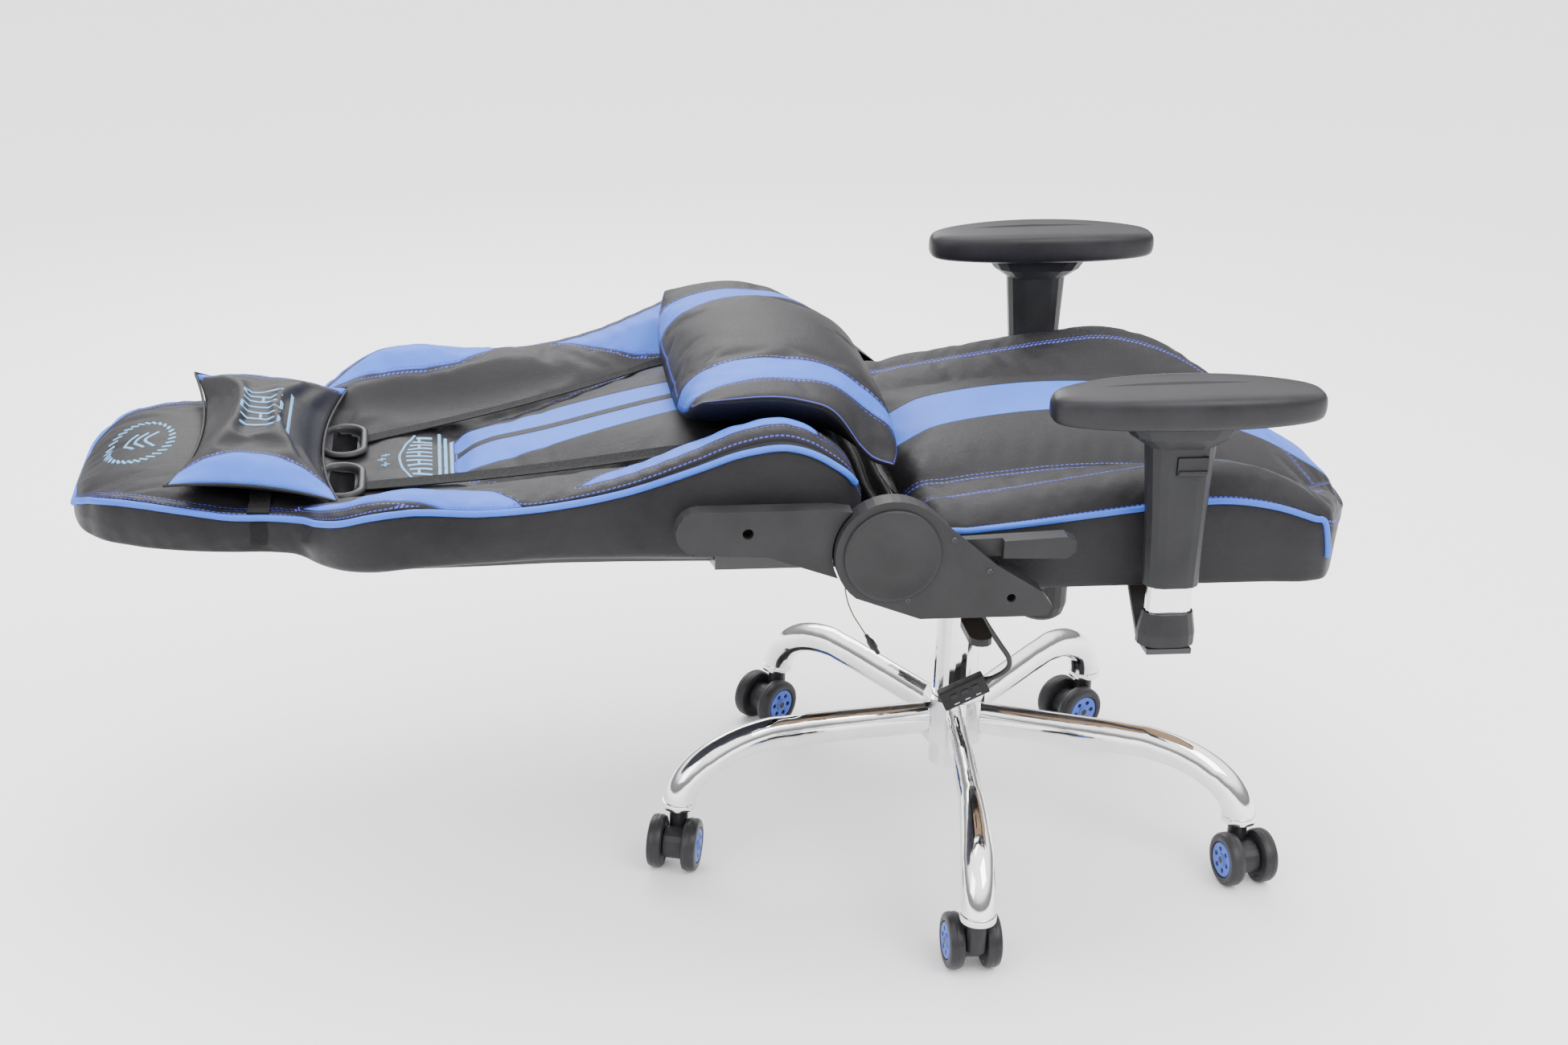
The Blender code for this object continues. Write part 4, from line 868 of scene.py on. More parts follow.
back = {
    "start": 0.160,
    "end": 0.962,
    "halfWidth": 0.262,
    "hingeHeight": 0.465,
    "frameTop": 0.4303,
    # share of the length, share of the width, and heights over the hinge of the middle, the wings
    # and the side's lower edge
    "stations": (
        (0.000, 0.900, 0.028, 0.035, -0.020),
        (0.016, 0.970, 0.042, 0.065, -0.019),
        (0.050, 1.000, 0.049, 0.095, -0.018),
        (0.095, 1.000, 0.053, 0.113, -0.018),
        (0.150, 1.000, 0.053, 0.109, -0.018),
        (0.215, 0.990, 0.044, 0.087, -0.018),
        (0.290, 0.975, 0.030, 0.063, -0.018),
        (0.380, 0.970, 0.012, 0.047, -0.018),
        (0.470, 0.990, -0.001, 0.044, -0.019),
        (0.560, 1.000, -0.006, 0.049, -0.022),
        (0.605, 0.990, -0.007, 0.043, -0.026),
        (0.645, 0.920, -0.006, 0.028, -0.030),
        (0.670, 0.830, -0.004, 0.018, -0.033),
        (0.695, 0.715, -0.002, 0.009, -0.035),
        (0.730, 0.665, 0.002, 0.006, -0.036),
        (0.780, 0.655, 0.009, 0.006, -0.036),
        (0.840, 0.630, 0.016, 0.012, -0.036),
        (0.910, 0.560, 0.019, 0.015, -0.036),
        (0.960, 0.455, 0.013, 0.008, -0.036),
        (0.988, 0.300, -0.003, -0.008, -0.037),
        (1.000, 0.150, -0.017, -0.020, -0.038),
    ),
    # share of the half width, and how far the point follows the wing instead of the middle
    "section": (
        (0.0, 0.0),
        (0.25, 0.0),
        (0.46, 0.0),
        (0.60, 0.12),
        (0.72, 0.62),
        (0.82, 0.96),
        (0.90, 1.0),
        (0.97, 0.90),
    ),
    # the centre pad's half width by the share of the length
    "pad": ((0.10, 0.150), (0.25, 0.142), (0.36, 0.118), (0.44, 0.096), (0.485, 0.074), (0.496, 0.050)),
    "padRise": 0.008,
    "stripeInner": 0.0065,
    "stripeOuter": ((0.15, 0.043), (0.47, 0.058)),
    # where the blue wing panels lie: share of the length, inner edge, outer edge (shares of the half width)
    "shoulder": (
        (0.42, 0.98, 1.03),
        (0.45, 0.86, 1.02),
        (0.49, 0.78, 1.00),
        (0.54, 0.745, 0.96),
        (0.60, 0.745, 0.92),
        (0.65, 0.79, 0.90),
        (0.69, 0.87, 0.89),
    ),
    "lumbar": (
        (0.06, 0.60, 0.905),
        (0.16, 0.60, 0.905),
        (0.24, 0.66, 0.905),
        (0.31, 0.80, 0.905),
        (0.35, 0.90, 0.905),
    ),
    "hole": (0.060, 0.680, 0.042, 0.019),    # x, y and the half sizes of each strap hole
    "rows": 120,
    "columns": 52,
}


def backHeights(along):
    table = np.array(back["stations"])
    return [ease(along, table[:, 0], table[:, k]) for k in (1, 2, 3, 4)]


def backHalf(along, us):
    width, middle, wing, flank = backHeights(along)
    wide = width * back["halfWidth"]
    hinge = back["hingeHeight"]
    low, crest = hinge + flank, hinge + wing
    controls = []
    for share, follow in back["section"]:
        controls.append((share * wide, hinge + middle * (1 - follow) + wing * follow))
    for share, level in ((1.0, 0.66), (1.004, 0.28), (0.97, 0)):
        controls.append((wide * share, low + (crest - low) * level))
    controls.append((wide * 0.80, back["frameTop"]))
    return np.array([sectionPoint(controls, u) for u in us]), wide


def inOval(x, y, grow=0.0):
    hx, hy, rx, ry = back["hole"]
    return np.hypot(np.maximum(np.abs(np.abs(x) - hx) - (rx - ry), 0), y - hy) - ry - grow


def between(along, table, share):            # how far inside a wing panel, in shares: above 0 is inside
    table = np.array(table)
    low = np.interp(along, table[:, 0], table[:, 1])
    high = np.interp(along, table[:, 0], table[:, 2])
    ends = np.minimum(along - table[0, 0], table[-1, 0] - along) * 3
    return np.minimum(np.minimum(share - low, high - share), ends)


def backCushion():
    us = np.concatenate([np.linspace(0, 8, 40), np.linspace(8, 11, 14)[1:]])
    alongs = np.concatenate([[0, 0.004], np.linspace(0, 1, back["rows"])[1:-1], [0.996, 1.0]])
    half, wides = zip(*(backHalf(a, us) for a in alongs))
    ys = back["start"] + (back["end"] - back["start"]) * alongs
    grid = []
    for y, ring in zip(ys, half):
        side = np.stack([ring[:, 0], np.full(len(ring), y), ring[:, 1]], 1)
        grid.append(np.vstack([side, side[1:][::-1] * (-1, 1, 1)]))
    grid = np.array(grid)
    around = grid.shape[1]
    u = np.concatenate([us, us[1:][::-1]])[None, :] * np.ones((len(alongs), 1))
    along = alongs[:, None] * np.ones((1, around))
    x, y = grid[:, :, 0], grid[:, :, 1]
    wide = np.array(wides)[:, None]
    share = np.abs(x) / wide
    padTable = np.array(back["pad"])
    padEdge = np.interp(along, padTable[:, 0], padTable[:, 1])
    padIn = np.minimum(padEdge - np.abs(x), (padTable[-1, 0] + 0.004 - along) * 0.8)
    front = u < 7.5
    swell = np.clip(padIn / 0.030, 0, 1)
    grid[:, :, 2] += np.where(front, back["padRise"] * np.sin(swell * np.pi / 2), 0)
    run = runAlong(grid)
    shoulder = between(along, back["shoulder"], share) * wide
    lumbar = between(along, back["lumbar"], share) * wide
    innerSeam = (share - 0.905) * wide
    innerSeam = np.where((along > 0.36) & (along < 0.70), 1.0, np.abs(innerSeam))
    piping = np.abs(u - 7.15) * 0.02
    stripeEdge = np.interp(along, *zip(*back["stripeOuter"]))
    stripes = np.minimum(np.abs(x) - back["stripeInner"], stripeEdge - np.abs(x))
    stripes = np.minimum(stripes, padIn)
    wingPanel = np.where(front, np.maximum(shoulder, lumbar), -1)
    panel = np.where(front, np.maximum(wingPanel, np.where(padIn > -0.01, stripes, -1)), -1)
    seams = np.minimum.reduce([np.abs(padIn), innerSeam, np.where(front, np.abs(wingPanel), 1), piping])
    cross = np.where(np.abs(x) < wide * 0.80, np.abs(along - 0.745) * 0.8, 1)
    seams = np.where(front, np.minimum(seams, cross), piping)
    normals = gridNormals(grid)
    grid = gatherAlong(grid, normals, np.where(front, innerSeam, piping), run, 0.015, 0.0008, 0.012)
    held = np.zeros(u.shape)
    held[seams < padding["stitched"]] = 1
    held[u > 9.7] = 1
    held[:3] = held[-3:] = 1
    held[inOval(x, y, 0.012) < 0] = 1
    obj = makePiece("backUpholstery", placed(grid), ringFaces(len(grid), around), "panelLeather", "backrest")
    fixNormals(obj)
    puff(obj, held.ravel(), "back")
    mark(obj, "panel", panel)
    mark(obj, "seam", seams)
    mark(obj, "run", np.where((cross < 0.01) & front, np.abs(x), run))
    skin = np.array([v.co for v in obj.data.vertices]).reshape(len(grid), around, 3)
    rim = [[Vector(p) for p in skin[:, i]] for i in (36, around - 36)]
    bm = bmesh.new()
    bm.from_mesh(obj.data)
    bm.verts.ensure_lookup_table()
    flatX, flatY = x.ravel(), y.ravel()
    doomed = [f for f in bm.faces if all(inOval(flatX[v.index], flatY[v.index]) < 0 for v in f.verts)]
    underside = (around // 2, around // 2 + 1)
    hidden = [f for f in bm.faces if all(v.index % around in underside for v in f.verts)]
    doomed += [f for f in hidden if f not in doomed]
    bmesh.ops.delete(bm, geom=doomed, context="FACES")
    bm.to_mesh(obj.data)
    bm.free()
    upholster(obj, "backrest_cushion")
    return obj, rim, skin


backPiece, backRims, backSkin = backCushion()


def pipeRoundBack():
    left, right = backRims
    line = left[3:-2] + right[3:-2][::-1]
    out = []
    for p in line:
        outward = Vector((math.copysign(1, p.x), 0, 0)) if abs(p.x) > 0.06 else Vector((0, 1, 0))
        out.append(p + outward * 0.0014 + Vector((0, 0, 0.0014)))
    path = [Vector(p) for p in curveThrough(out, 300)]
    cord = pipePiece("backPiping", path, 0.0034, "blueLeather", "backrest")


pipeRoundBack()
print("back cushion is upholstered")

# pillows


def pillowGrid(name, look, place, held):
    columns, rows = look["columns"], look["rows"]
    us, vs = np.linspace(-1, 1, columns), np.linspace(-1, 1, rows)
    points, sheet, sewn = [], {}, []
    for top in (True, False):
        for i, u in enumerate(us):
            for j, v in enumerate(vs):
                rim = i in (0, columns - 1) or j in (0, rows - 1)
                if rim and not top:
                    sheet[False, i, j] = sheet[True, i, j]
                    continue
                sheet[top, i, j] = len(points)
                points.append(place(u, v, top))
                sewn.append((u, v, top, rim))
    faces = []
    for top in (True, False):
        for i in range(columns - 1):
            for j in range(rows - 1):
                cell = [sheet[top, i + di, j + dj] for di, dj in ((0, 0), (1, 0), (1, 1), (0, 1))]
                faces.append(cell if top else cell[::-1])
    obj = makePiece(name, [at(*p) for p in points], faces, "panelLeather", "backrest")
    fixNormals(obj)
    puff(obj, [held(*s) for s in sewn], "pillow")
    u, v = np.array([s[0] for s in sewn]), np.array([s[1] for s in sewn])
    rimLine = [sheet[True, i, 0] for i in range(columns)]
    rimLine += [sheet[True, columns - 1, j] for j in range(1, rows)]
    rimLine += [sheet[True, i, rows - 1] for i in range(columns - 2, -1, -1)]
    rimLine += [sheet[True, 0, j] for j in range(rows - 2, 0, -1)]
    return obj, u, v, np.array([s[2] for s in sewn]), rimLine


headPillow = {
    "halfLength": 0.166,
    "y": 0.763,
    "waist": 0.064,
    "flare": 0.022,
    "floor": 0.4775,
    "crown": 0.050,
    "slope": 0.126,
    "blueFrom": 0.76,
    "columns": 52,
    "rows": 32,
}


def headPlace(u, v, top):
    look = headPillow
    wide = look["waist"] + look["flare"] * abs(u) ** 2.2
    y = v * wide
    x = u * (look["halfLength"] + 0.022 * (v * v - 0.5) * abs(u))
    body = (1 - abs(u) ** 3.2) ** 0.62 * (1 - abs(v) ** 2.6) ** 0.60
    rest = 0.012 + 0.006 * abs(u) ** 3
    lift = look["crown"] - 0.012 * abs(u) ** 2
    z = look["floor"] + rest + (body * (lift - rest * 0.4) if top else -body * rest)
    return x, look["y"] + y, z + y * look["slope"]


def makeHeadPillow():
    look = headPillow

    def held(u, v, top, rim):
        return 1 if rim or not top or abs(abs(u) - look["blueFrom"] - 0.10 * v * v) < 0.03 else 0

    obj, u, v, top, rim = pillowGrid("headPillow", look, headPlace, held)
    edge = (np.abs(u) - look["blueFrom"] - 0.12 * v * v) * look["halfLength"]
    mark(obj, "panel", np.where(top, edge, -1))
    mark(obj, "seam", np.where(top, np.abs(edge), 1))
    mark(obj, "run", v * 0.09)
    upholster(obj, "head_pillow")
    line = [obj.data.vertices[i].co.copy() for i in rim]
    welt = pipePiece("headPillowWelt", line, 0.0016, "blackLeather", "backrest", closed=True)
    return obj


lumbarPillow = {
    "halfLength": 0.205,
    "y": 0.220,
    "reach": 0.114,
    "floor": 0.5265,
    "crown": 0.083,
    "wingRise": 0.048,
    "droop": 0.026,         # how far the edge towards the seat hangs
    "blue": (0.54, 0.76),
    "columns": 64,
    "rows": 40,
}


def lumbarPlace(u, v, top):
    look = lumbarPillow
    wide = look["reach"] * (1 - 0.14 * abs(u) ** 5)
    y = v * wide
    x = u * look["halfLength"] * (1 - 0.045 * v * v)
    body = (1 - abs(u) ** 2.7) ** 0.58 * (1 - abs(v) ** 2.6) ** 0.48
    onBack = ease(v, (-1.0, -0.75, -0.30, 0.0, 1.0), (0.0, 0.12, 0.85, 1.0, 1.0))
    wing = look["wingRise"] * abs(u) ** 3.2
    under = wing * onBack - look["droop"] * (1 - onBack)
    rim = 0.014
    height = look["crown"] * (1 - 0.08 * u * u) - 0.60 * wing + 0.012 * (1 - onBack)
    z = look["floor"] + under + rim + (body * (height - rim) if top else -body * rim)
    return x, look["y"] + y, z


def makeLumbarPillow():
    look = lumbarPillow
    low, high = look["blue"]

    def panelEdge(u, v):
        return np.minimum(np.abs(u) - low + 0.05 * v, high + 0.03 * v - np.abs(u)) * look["halfLength"]

    def held(u, v, top, rim):
        return 1 if rim or not top or abs(panelEdge(u, v)) < 0.0035 else 0

    obj, u, v, top, rim = pillowGrid("lumbarPillow", look, lumbarPlace, held)
    edge = panelEdge(u, v)
    hem = np.minimum((1 - np.abs(u)) * look["halfLength"], (1 - np.abs(v)) * look["reach"])
    mark(obj, "panel", np.where(top, edge, -1))
    mark(obj, "seam", np.where(top, np.minimum(np.abs(edge), hem), 1))
    mark(obj, "run", np.where(hem < np.abs(edge), u * look["halfLength"], v * look["reach"]))
    upholster(obj, "lumbar_pillow")
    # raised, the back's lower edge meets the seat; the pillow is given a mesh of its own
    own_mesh(obj)


headPiece = makeHeadPillow()
makeLumbarPillow()
print("pillows are filled")

# trim laid on the finished leather: straps, emblems and hole rings

straps = {
    "width": 0.022,
    "thickness": 0.0013,
    # from the lumbar pillow's upper edge to the neck holes
    "path": ((0.150, 0.296), (0.128, 0.38), (0.106, 0.48), (0.086, 0.58), (0.070, 0.664)),
}


def ribbonOn(name, surface, path, width, thickness, finish, body, lift=0.0008, across=3, sag=None):
    centre = [Vector((*p, 0)) for p in curveThrough(path, max(12, int(len(path) * 9)))]
    rows = []
    for k, p in enumerate(centre):
        ahead = (centre[min(k + 1, len(centre) - 1)] - centre[max(k - 1, 0)]).normalized()
        side = Vector((-ahead.y, ahead.x, 0)) * width / 2
        rows.append([p + side * (2 * j / (across - 1) - 1) for j in range(across)])
    heights = np.zeros((len(rows), across))
    for k, row in enumerate(rows):
        for j, p in enumerate(row):
            hit = dropOn(surface, p.x, p.y, 0)
            heights[k, j] = np.nan if hit is None else hit.z
    for j in range(across):
        known = np.isfinite(heights[:, j])
        if not known.any():
            return None
        heights[:, j] = np.interp(np.arange(len(rows)), np.arange(len(rows))[known], heights[known, j])
    if sag:                                  # a band under tension bridges the hollows
        pulled = heights.copy()
        for _ in range(sag):
            pulled[1:-1] = np.maximum(heights[1:-1], (pulled[:-2] + pulled[2:]) / 2)
        heights = pulled
    rings = []
    for row, levels in zip(rows, heights + lift + thickness):
        top = [at(p.x, p.y, level) for p, level in zip(row, levels)]
        rings.append(top + [p - Vector((0, 0, thickness)) for p in top[::-1]])
    return loftPiece(name, rings, finish, body, angle=50)


leatherSurface = surfaceOf(backPiece)
holeRing = {
    "foot": 0.412,
    "steps": 48,
    "beyond": 0.010,        # where the leather's height is read, past the hole's edge
    # growth past the hole, and the height over the rim or over the foot
    "rim": (
        (0.0075, -0.0025),
        (0.0070, 0.0004),
        (0.0040, 0.0020),
        (0.0005, 0.0012),
        (-0.0012, -0.003),
    ),
    "skirt": ((-0.0014, 0.006), (0.0002, -0.003), (0.006, -0.004), (0.0062, -0.001), (0.0004, 0.001)),
}


def makeHoleRing(name, sign):
    look = holeRing
    hx, hy, rx, ry = back["hole"]
    top = dropOn(leatherSurface, sign * hx, hy + ry + look["beyond"], 0.0).z + 0.002
    profile = [(grow, top + rise) for grow, rise in look["rim"]]
    profile += [(grow, look["foot"] + rise) for grow, rise in look["skirt"]]
    profile.append((0.0, top - 0.004))
    n, steps = len(profile), look["steps"]
    points = []
    for k in range(steps):
        a = 2 * math.pi * k / steps
        c, s = math.cos(a), math.sin(a)
        cx = math.copysign(rx - ry, c) if abs(c) > 1e-9 else 0
        for grow, z in profile:
            points.append(at(sign * hx + cx + (ry + grow) * c, hy + (ry + grow) * s, z))
    faces = []
    for k in range(steps):
        here, there = k * n, (k + 1) % steps * n
        for j, i in ((j, (j + 1) % n) for j in range(n)):
            faces.append((here + j, here + i, there + i, there + j))
    ring = makePiece("strapHoleRing" + name, points, faces, "wheelPlastic", "backrest", angle=60)
    fixNormals(ring)


for name, sign in sides:
    name = name.capitalize()
    path = [(sign * x, y) for x, y in straps["path"]]
    size = straps["width"], straps["thickness"]
    strap = ribbonOn("lumbarStrap" + name, leatherSurface, path, *size, "elasticWeb", "backrest", sag=300)
    makeHoleRing(name, sign)

# emblems

emblem = {"thickness": 0.0007, "sunk": 0.0012, "lift": 0.0003}


def embroider(name, surface, strokes, body):
    points, faces = [], []
    deep, over = emblem["sunk"], emblem["lift"]
    for path, width in strokes:
        if len(path) > 2:
            line = curveThrough(path, max(5, len(path) * 4))
        else:
            line = np.linspace(path[0], path[1], 7)
        tops = []
        for k, p in enumerate(line):
            ahead = line[min(k + 1, len(line) - 1)] - line[max(k - 1, 0)]
            ahead = ahead / max(np.linalg.norm(ahead), 1e-9)
            side = np.array((-ahead[1], ahead[0])) * width / 2
            row = [dropOn(surface, *(p + side * s), 0) for s in (-1, 0, 1)]
            if any(r is None for r in row):
                break
            tops.append(row)
        if len(tops) < 2:
            continue
        base = len(points)
        for row in tops:
            low, mid, high = row
            crest = emblem["thickness"] + over
            raised = ((low, -deep), (low, over), (mid, crest), (high, over), (high, -deep))
            points += [p + Vector((0, 0, rise)) for p, rise in raised]
        for k in range(len(tops) - 1):
            for j in range(4):
                a = base + k * 5 + j
                faces.append((a, a + 1, a + 6, a + 5))
        faces.append(tuple(base + j for j in range(5)))
        faces.append(tuple(base + (len(tops) - 1) * 5 + j for j in range(5)))
    fixNormals(makePiece(name, points, faces, "cyanThread", body, angle=60))


def ringDashes(cx, cy, rx, ry, count, size, width):      # short leaves standing round an oval
    strokes = []
    for k in range(count):
        a = 2 * math.pi * (k + 0.5) / count
        middle = np.array((cx + rx * math.cos(a), cy + ry * math.sin(a)))
        lean = np.array((math.cos(a + 0.75), math.sin(a + 0.75))) * size / 2
        strokes.append(((middle - lean, middle + lean), width))
    return strokes


def headBadge():
    strokes = ringDashes(0, 0.893, 0.058, 0.034, 30, 0.010, 0.0034)
    for k in range(3):
        y = 0.905 - 0.011 * k
        strokes.append((((-0.022, y - 0.008), (0.0, y + 0.004), (0.022, y - 0.008)), 0.0034))
    return strokes


def neckBadge():
    strokes = []
    for k in range(3):
        y, wide = 0.563 + 0.0065 * k, 0.050 + 0.010 * k
        strokes.append((((-wide, y), (wide, y)), 0.0036))
    for k in range(11):
        x = -0.060 + 0.012 * k
        top = 0.612 - 0.011 * (x / 0.06) ** 2
        strokes.append((((x, 0.584), (x, top)), 0.0040))
        if k % 2 and k < 10:
            strokes.append((((x, 0.598), (x + 0.012, 0.598)), 0.0028))
    arch = ((-0.066, 0.603), (-0.035, 0.614), (0.0, 0.619), (0.035, 0.614), (0.066, 0.603))
    strokes.append((arch, 0.0026))
    for k in range(3):
        cx, cy, size = (k - 1) * 0.014, 0.638 - 0.004 * abs(k - 1), 0.0045
        strokes.append((((cx - size, cy), (cx + size, cy)), 0.0022))
        strokes.append((((cx, cy - size), (cx, cy + size)), 0.0022))
    return strokes


def pillowBadge():
    strokes = []
    for k in range(7):
        x = -0.051 + 0.017 * k
        strokes.append((((x, 0.742), (x, 0.782)), 0.0034))
        if k < 6:
            y = 0.742 + 0.020 * (k % 3)
            strokes.append((((x, y), (x + 0.017, y)), 0.0030))
    strokes.append((((-0.058, 0.733), (0.058, 0.733)), 0.0028))
    return strokes


headBand = {"edges": (0.748, 0.770), "lift": 0.0006, "thickness": 0.0013, "middleHeight": 0.45}


def headStrap():                             # an elastic band round the head, holding the pillow
    columns = backSkin.shape[1]

    def onSkin(i, y):
        line = backSkin[:, i % columns]
        return np.array([np.interp(y + postY, line[:, 1], line[:, k]) for k in range(3)])

    low, high = headBand["edges"]
    near, far = headBand["lift"], headBand["lift"] + headBand["thickness"]
    rings = []
    for i in range(columns // 2 + 9, columns // 2 - 8 + columns):
        first, last = onSkin(i, low), onSkin(i, high)
        out = np.cross(onSkin(i + 1, low) - onSkin(i - 1, low), (0, 1, 0))
        out /= -max(np.linalg.norm(out), 1e-9)
        if out[2] * (first[2] - headBand["middleHeight"]) < 0 and abs(out[2]) > 0.9:
            out = -out
        rings.append([first + out * near, first + out * far, last + out * far, last + out * near])
    band = loftPiece("headPillowStrap", rings, "elasticWeb", "backrest", angle=50)


headStrap()

# folded leather between the seat and the back

gusset = {
    "from": (0.1085, 0.452),     # y and z at the seat's edge, then at the back's
    "to": (0.1575, 0.452),
    "half": 0.247,
    "folds": 3,
    "depth": 0.0060,
    "thickness": 0.0016,
}


def makeGusset():                            # folded leather that closes the gap over the hinge line
    (y0, z0), (y1, z1) = gusset["from"], gusset["to"]
    ts = np.linspace(0, 1, 34)
    points = []
    xs = np.linspace(-gusset["half"], gusset["half"], 60)
    for x in xs:
        for t in ts:
            pleat = math.cos(2 * math.pi * gusset["folds"] * t + 0.5 * math.sin(x * 21)) * gusset["depth"]
            z = z0 + (z1 - z0) * t - 0.012 * math.sin(math.pi * t) + pleat * math.sin(math.pi * t) ** 0.5
            points.append(at(x, y0 + (y1 - y0) * t, z + 0.0015 * math.sin(x * 47 + t * 4)))
    obj = makePiece("hingeGusset", points, sheetFaces(len(xs), len(ts)), "blackLeather", None)
    thick = obj.modifiers.new("thick", "SOLIDIFY")
    thick.thickness = gusset["thickness"]
    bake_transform(obj)


makeGusset()

embroider("headBadge", leatherSurface, headBadge(), "backrest")
embroider("neckBadge", leatherSurface, neckBadge(), "backrest")
embroider("pillowBadge", surfaceOf(headPiece), pillowBadge(), "backrest")
print("straps, rings and emblems are sewn on")

# rear shell of the back

shell = {
    "top": 0.4217,
    "depth": 0.0050,
    "rib": 0.0022,
    "ribAt": 0.52,
    "thickness": 0.0016,
    "share": 0.73,
}


def rearShell():
    alongs = np.linspace(0.0, 1.0, 100)
    ts = np.linspace(-1, 1, 45)
    wides = [backHeights(along)[0] * back["halfWidth"] * shell["share"] for along in alongs]
    points = []
    for along, wide in zip(alongs, wides):
        y = back["start"] + (back["end"] - back["start"]) * along
        endFade = min(1, along / 0.04, (1 - along) / 0.03)
        for t in ts:
            body = max(0.0, 1 - abs(t) ** 8) ** 0.5 * math.sin(endFade * math.pi / 2)
            rib = shell["rib"] * math.exp(-(((abs(t) - shell["ribAt"]) * wide / 0.004) ** 2))
            points.append((t * wide, y, shell["top"] - 0.0008 - (shell["depth"] - rib) * body))
    flat = np.array(points)
    faces = sheetFaces(len(alongs), len(ts))
    faces = [f for f in faces if not all(inOval(flat[i][0], flat[i][1]) < 0 for i in f)]
    obj = makePiece("rearShell", placed(flat), faces, "panelLeather", "backrest")
    thick = obj.modifiers.new("thick", "SOLIDIFY")
    thick.thickness = shell["thickness"]
    thick.offset = 1
    fixNormals(obj)
    wide = np.repeat(wides, len(ts))
    share = np.abs(flat[:, 0]) / np.maximum(wide, 1e-6)
    mark(obj, "panel", np.full(len(flat), -1.0))
    mark(obj, "seam", np.minimum(np.abs(share - shell["ribAt"]), np.abs(share - 0.93)) * wide)
    mark(obj, "run", flat[:, 1])


rearShell()
print("rear shell is on")

# chromed legs

legs = {
    "angles": (173.3, 101.3, 245.3, 29.3, -42.7),     # degrees from +X
    "reach": 0.325,
    "rim": 0.066,
    "hub": 0.0333,
    "middle": 0.139,
    "rootHeight": 0.019,
    "rootWidth": 0.0125,
    "endRadius": 0.0180,
    "collar": (
        (0.0110, 0.0002),
        (0.0188, 0.0002),
        (0.0192, 0.0012),
        (0.0192, 0.0070),
        (0.0186, 0.0082),
        (0.0178, 0.0084),
    ),
}


def makeLeg(number):
    look = legs
    turn = math.radians(look["angles"][number - 1])
    bend, drop = look["reach"] - 0.125, look["middle"] + 0.004 - look["rim"]
    # place along the leg, height and slope in degrees
    start = ((look["hub"], 0, 0), (0.060, 0.0015, 0), (0.095, 0.003, 0), (0.150, 0.0035, 0), (bend, 0.003, 3))
    spine = [(x, look["middle"] + rise, slope) for x, rise, slope in start]
    for step in range(1, 13):
        a = math.pi / 2 * step / 12
        x, z = bend + (look["reach"] - bend) * math.sin(a), look["rim"] + drop * math.cos(a)
        spine.append((x, z, 90 * step / 12))
    fine = curveThrough(spine, 64)
    rings = []
    for k, (x, z, slope) in enumerate(fine):
        share = k / (len(fine) - 1)
        high = look["rootHeight"] * (1 - share) + look["endRadius"] * share
        wide = look["rootWidth"] + (look["endRadius"] - look["rootWidth"]) * min(1, share * 1.9) ** 0.9
        lean = math.radians(slope)
        ring = []
        for i in range(36):
            a = 2 * math.pi * i / 36
            rise = math.sin(a) * high
            px, py = x + rise * math.sin(lean), math.cos(a) * wide
            x2, y2 = px * math.cos(turn) - py * math.sin(turn), px * math.sin(turn) + py * math.cos(turn)
            ring.append(at(x2, y2, z + rise * math.cos(lean)))
        rings.append(ring)
    leg = loftPiece(f"leg{number}", rings, "chromePlate", "base", angle=50)
    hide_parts(f"base_leg_{number}")
    end = at(look["reach"] * math.cos(turn), look["reach"] * math.sin(turn), look["rim"])
    collar = turnedPiece(f"legCollar{number}", look["collar"], end, (0, 0, 1), "chromePlate", "base", 40)


for number in range(1, 6):
    makeLeg(number)
print("legs are bent")

# castor wheels

wheel = {
    "radius": 0.030,
    "half": 0.0082,
    "hub": 0.0192,
    "holes": 6,
    "holeRing": 0.0122,
    "holeRadius": 0.0029,
    "headings": (1, 162, 190, 129, 116),
}


def tyreProfile():
    r, h, hub = wheel["radius"], wheel["half"], wheel["hub"]
    inner = [
        (0.0045, -h),
        (0.0135, -h),
        (0.0145, -h + 0.0012),
        (hub + 0.0035, -h + 0.0012),
        (hub + 0.0045, -h),
    ]
    # the tread's half, up to the groove round its middle
    tread = [
        (r - 0.0042, -h),
        (r - 0.0016, -h + 0.0012),
        (r - 0.0002, -h + 0.0038),
        (r, -0.0014),
        (r - 0.0004, -0.0008),
    ]
    outer = [
        (hub + 0.0022, h),
        (hub + 0.0012, h - 0.0006),
        (hub + 0.0008, h - 0.0030),
        (0.0045, h - 0.0030),
    ]
    return inner + tread + [(radius, -side) for radius, side in tread[::-1]] + outer


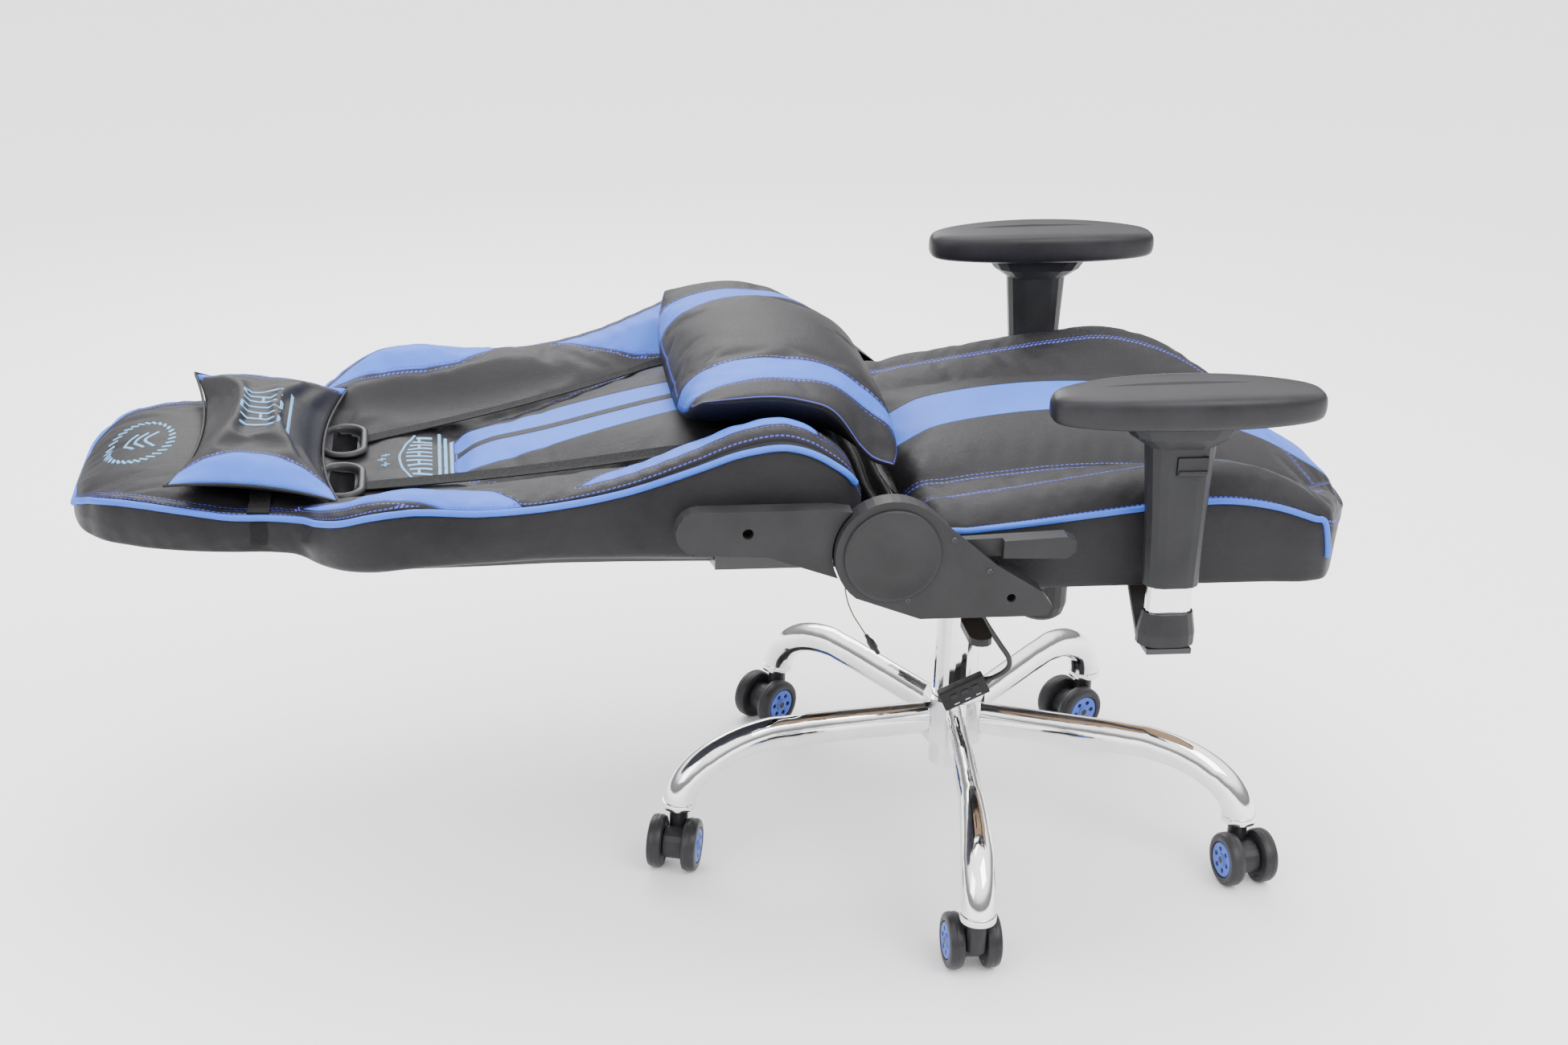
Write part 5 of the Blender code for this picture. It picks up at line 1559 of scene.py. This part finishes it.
def hubDisc(name):
    hub = wheel["hub"]
    edge = ((0.0, 0.0), (hub, 0.0), (hub, 0.0021), (hub - 0.0010, 0.0028))
    profile = edge + ((0.0075, 0.0020), (0.0066, 0.0032), (0.0052, 0.0036), (0.0, 0.0038))
    disc = turnedPiece(name, profile, (0, 0, 0), (0, 0, 1), "hubBlue", "base", 48, 30)
    bm = bmesh.new()
    for k in range(wheel["holes"]):
        a = 2 * math.pi * k / wheel["holes"]
        place = Matrix.Translation((wheel["holeRing"] * math.cos(a), wheel["holeRing"] * math.sin(a), 0.002))
        size = {"radius1": wheel["holeRadius"], "radius2": wheel["holeRadius"], "depth": 0.02}
        bmesh.ops.create_cone(bm, cap_ends=True, segments=16, matrix=place, **size)
    mesh = bpy.data.meshes.new("hubHoles")
    bm.to_mesh(mesh)
    bm.free()
    tool = link("hubHoles", mesh)
    cut = disc.modifiers.new("holes", "BOOLEAN")
    cut.operation = "DIFFERENCE"
    cut.object = tool
    graph = bpy.context.evaluated_depsgraph_get()
    made = bpy.data.meshes.new_from_object(disc.evaluated_get(graph))
    for obj in (disc, tool):
        bpy.data.objects.remove(obj, do_unlink=True)
    made.set_sharp_from_angle(angle=math.radians(30))
    return made


discShape = hubDisc("hubDiscShape")
for number in range(1, 6):
    heading = math.radians(wheel["headings"][number - 1])
    outward = Vector((-math.sin(heading), math.cos(heading), 0))
    for name, sign in sides:
        node = f"caster_wheel_{name}_{number}"
        centre = middleOf(node)
        axis = outward * sign
        body, label = f"wheel_{name}_{number}", f"{name.capitalize()}{number}"
        tyre = turnedPiece("tyre" + label, tyreProfile(), centre, axis, "wheelPlastic", body, 64, 32)
        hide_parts(node)
        turn = Vector((0, 0, 1)).rotation_difference(axis).to_matrix().to_4x4()
        mesh = discShape.copy()
        mesh.transform(Matrix.Translation(centre + axis * (wheel["half"] - 0.0029)) @ turn)
        disc = link("hubDisc" + label, mesh)
        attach(disc, body)
print("wheels are fitted")

# armrest pads

pad = {
    "halfLength": 0.133,
    "halfWidth": 0.044,
    "taper": 0.40,
    "thickness": 0.030,
    "around": 88,
    "armX": 0.289,
    "armY": -0.138,
    "arch": 0.0065,
    # share of the thickness, and of the size
    "levels": (
        (0.0, 0.60),
        (0.02, 0.82),
        (0.09, 0.94),
        (0.22, 0.985),
        (0.38, 1.0),
        (0.56, 1.0),
        (0.72, 0.985),
        (0.84, 0.945),
        (0.92, 0.87),
        (0.965, 0.74),
        (0.989, 0.54),
        (0.9975, 0.31),
        (1.0, 0.10),
    ),
}


def padOutline(size):
    halfY = pad["halfLength"] - (1 - size) * pad["halfWidth"]
    halfX = pad["halfWidth"] * size
    ring = []
    for a in (2 * math.pi * i / pad["around"] for i in range(pad["around"])):
        c, s = math.cos(a), math.sin(a)
        v = math.copysign(abs(s) ** 0.80, s) * halfY
        u = math.copysign(abs(c) ** 0.62, c) * halfX * (1 - pad["taper"] * (v / max(halfY, 1e-6)) ** 2 * 0.55)
        ring.append((u, v))
    return ring


for name, sign in sides:
    label, foot = name.capitalize(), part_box(f"armrest_pad_{name}")[0].z - 0.0003
    rings = []
    for share, size in curveThrough(pad["levels"], 26):
        ring = []
        for u, v in padOutline(size):
            arch = pad["arch"] * (1 - (v / pad["halfLength"]) ** 2) * share
            z = foot + pad["thickness"] * share + arch
            ring.append(at(sign * pad["armX"] + u, pad["armY"] + v, z))
        rings.append(ring)
    cushion = loftPiece("armPad" + label, rings, "padSkin", f"arm_{name}", angle=70)
    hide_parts(f"armrest_pad_{name}")
    low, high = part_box(f"arm_button_{name}")
    face = high.x if sign > 0 else low.x
    button = middleOf(f"arm_button_{name}")
    place = (face + sign * 0.0010, button.y, button.z - 0.0060)
    size = (0.0030, 0.0285, 0.0040)
    lip = roundedBox("buttonLip" + label, place, size, 0.0012, "armPlastic", f"button_{name}")
print("arm pads are on")

# screws and discs of the recliner covers

cover = {
    "hinge": (0.142, 0.465),
    "outer": 0.303,
    "discRadius": 0.0475,
    "screwRadius": 0.0030,
    # y and z of each screw in the cover's face
    "screws": ((0.083, 0.480), (0.125, 0.418), (0.046, 0.446)),
}


def screwAt(name, place, axis, body):
    radius = cover["screwRadius"]
    rim = ((0.0, 0.0), (radius, 0.0), (radius, 0.0006))
    socket = ((radius * 0.72, 0.0014), (radius * 0.42, 0.0015), (radius * 0.40, 0.0006), (0.0, 0.0005))
    head = turnedPiece(name, rim + socket, place, axis, "powderCoat", body, 24, 30)


def discProfile():
    r = cover["discRadius"]
    side = ((0.0, -0.001), (r - 0.001, -0.001), (r, 0.0), (r, 0.0022), (r - 0.0014, 0.0036))
    return side + ((r - 0.0045, 0.0038), (r - 0.0056, 0.0030), (r * 0.5, 0.0034), (0.0, 0.0036))


for name, sign in sides:
    label, (y, z) = name.capitalize(), cover["hinge"]
    face, axis = at(sign * cover["outer"], y, z), (sign, 0, 0)
    disc = turnedPiece("hingeDisc" + label, discProfile(), face, axis, "coverPlastic", "seat", 72, 40)
    screws = cover["screws"][:2] if sign > 0 else cover["screws"]
    for k, (y, z) in enumerate(screws):
        place = at(sign * (cover["outer"] - 0.0002), y, z)
        screwAt(f"coverScrew{label}{k + 1}", place, axis, "seat")
print("covers are screwed down")
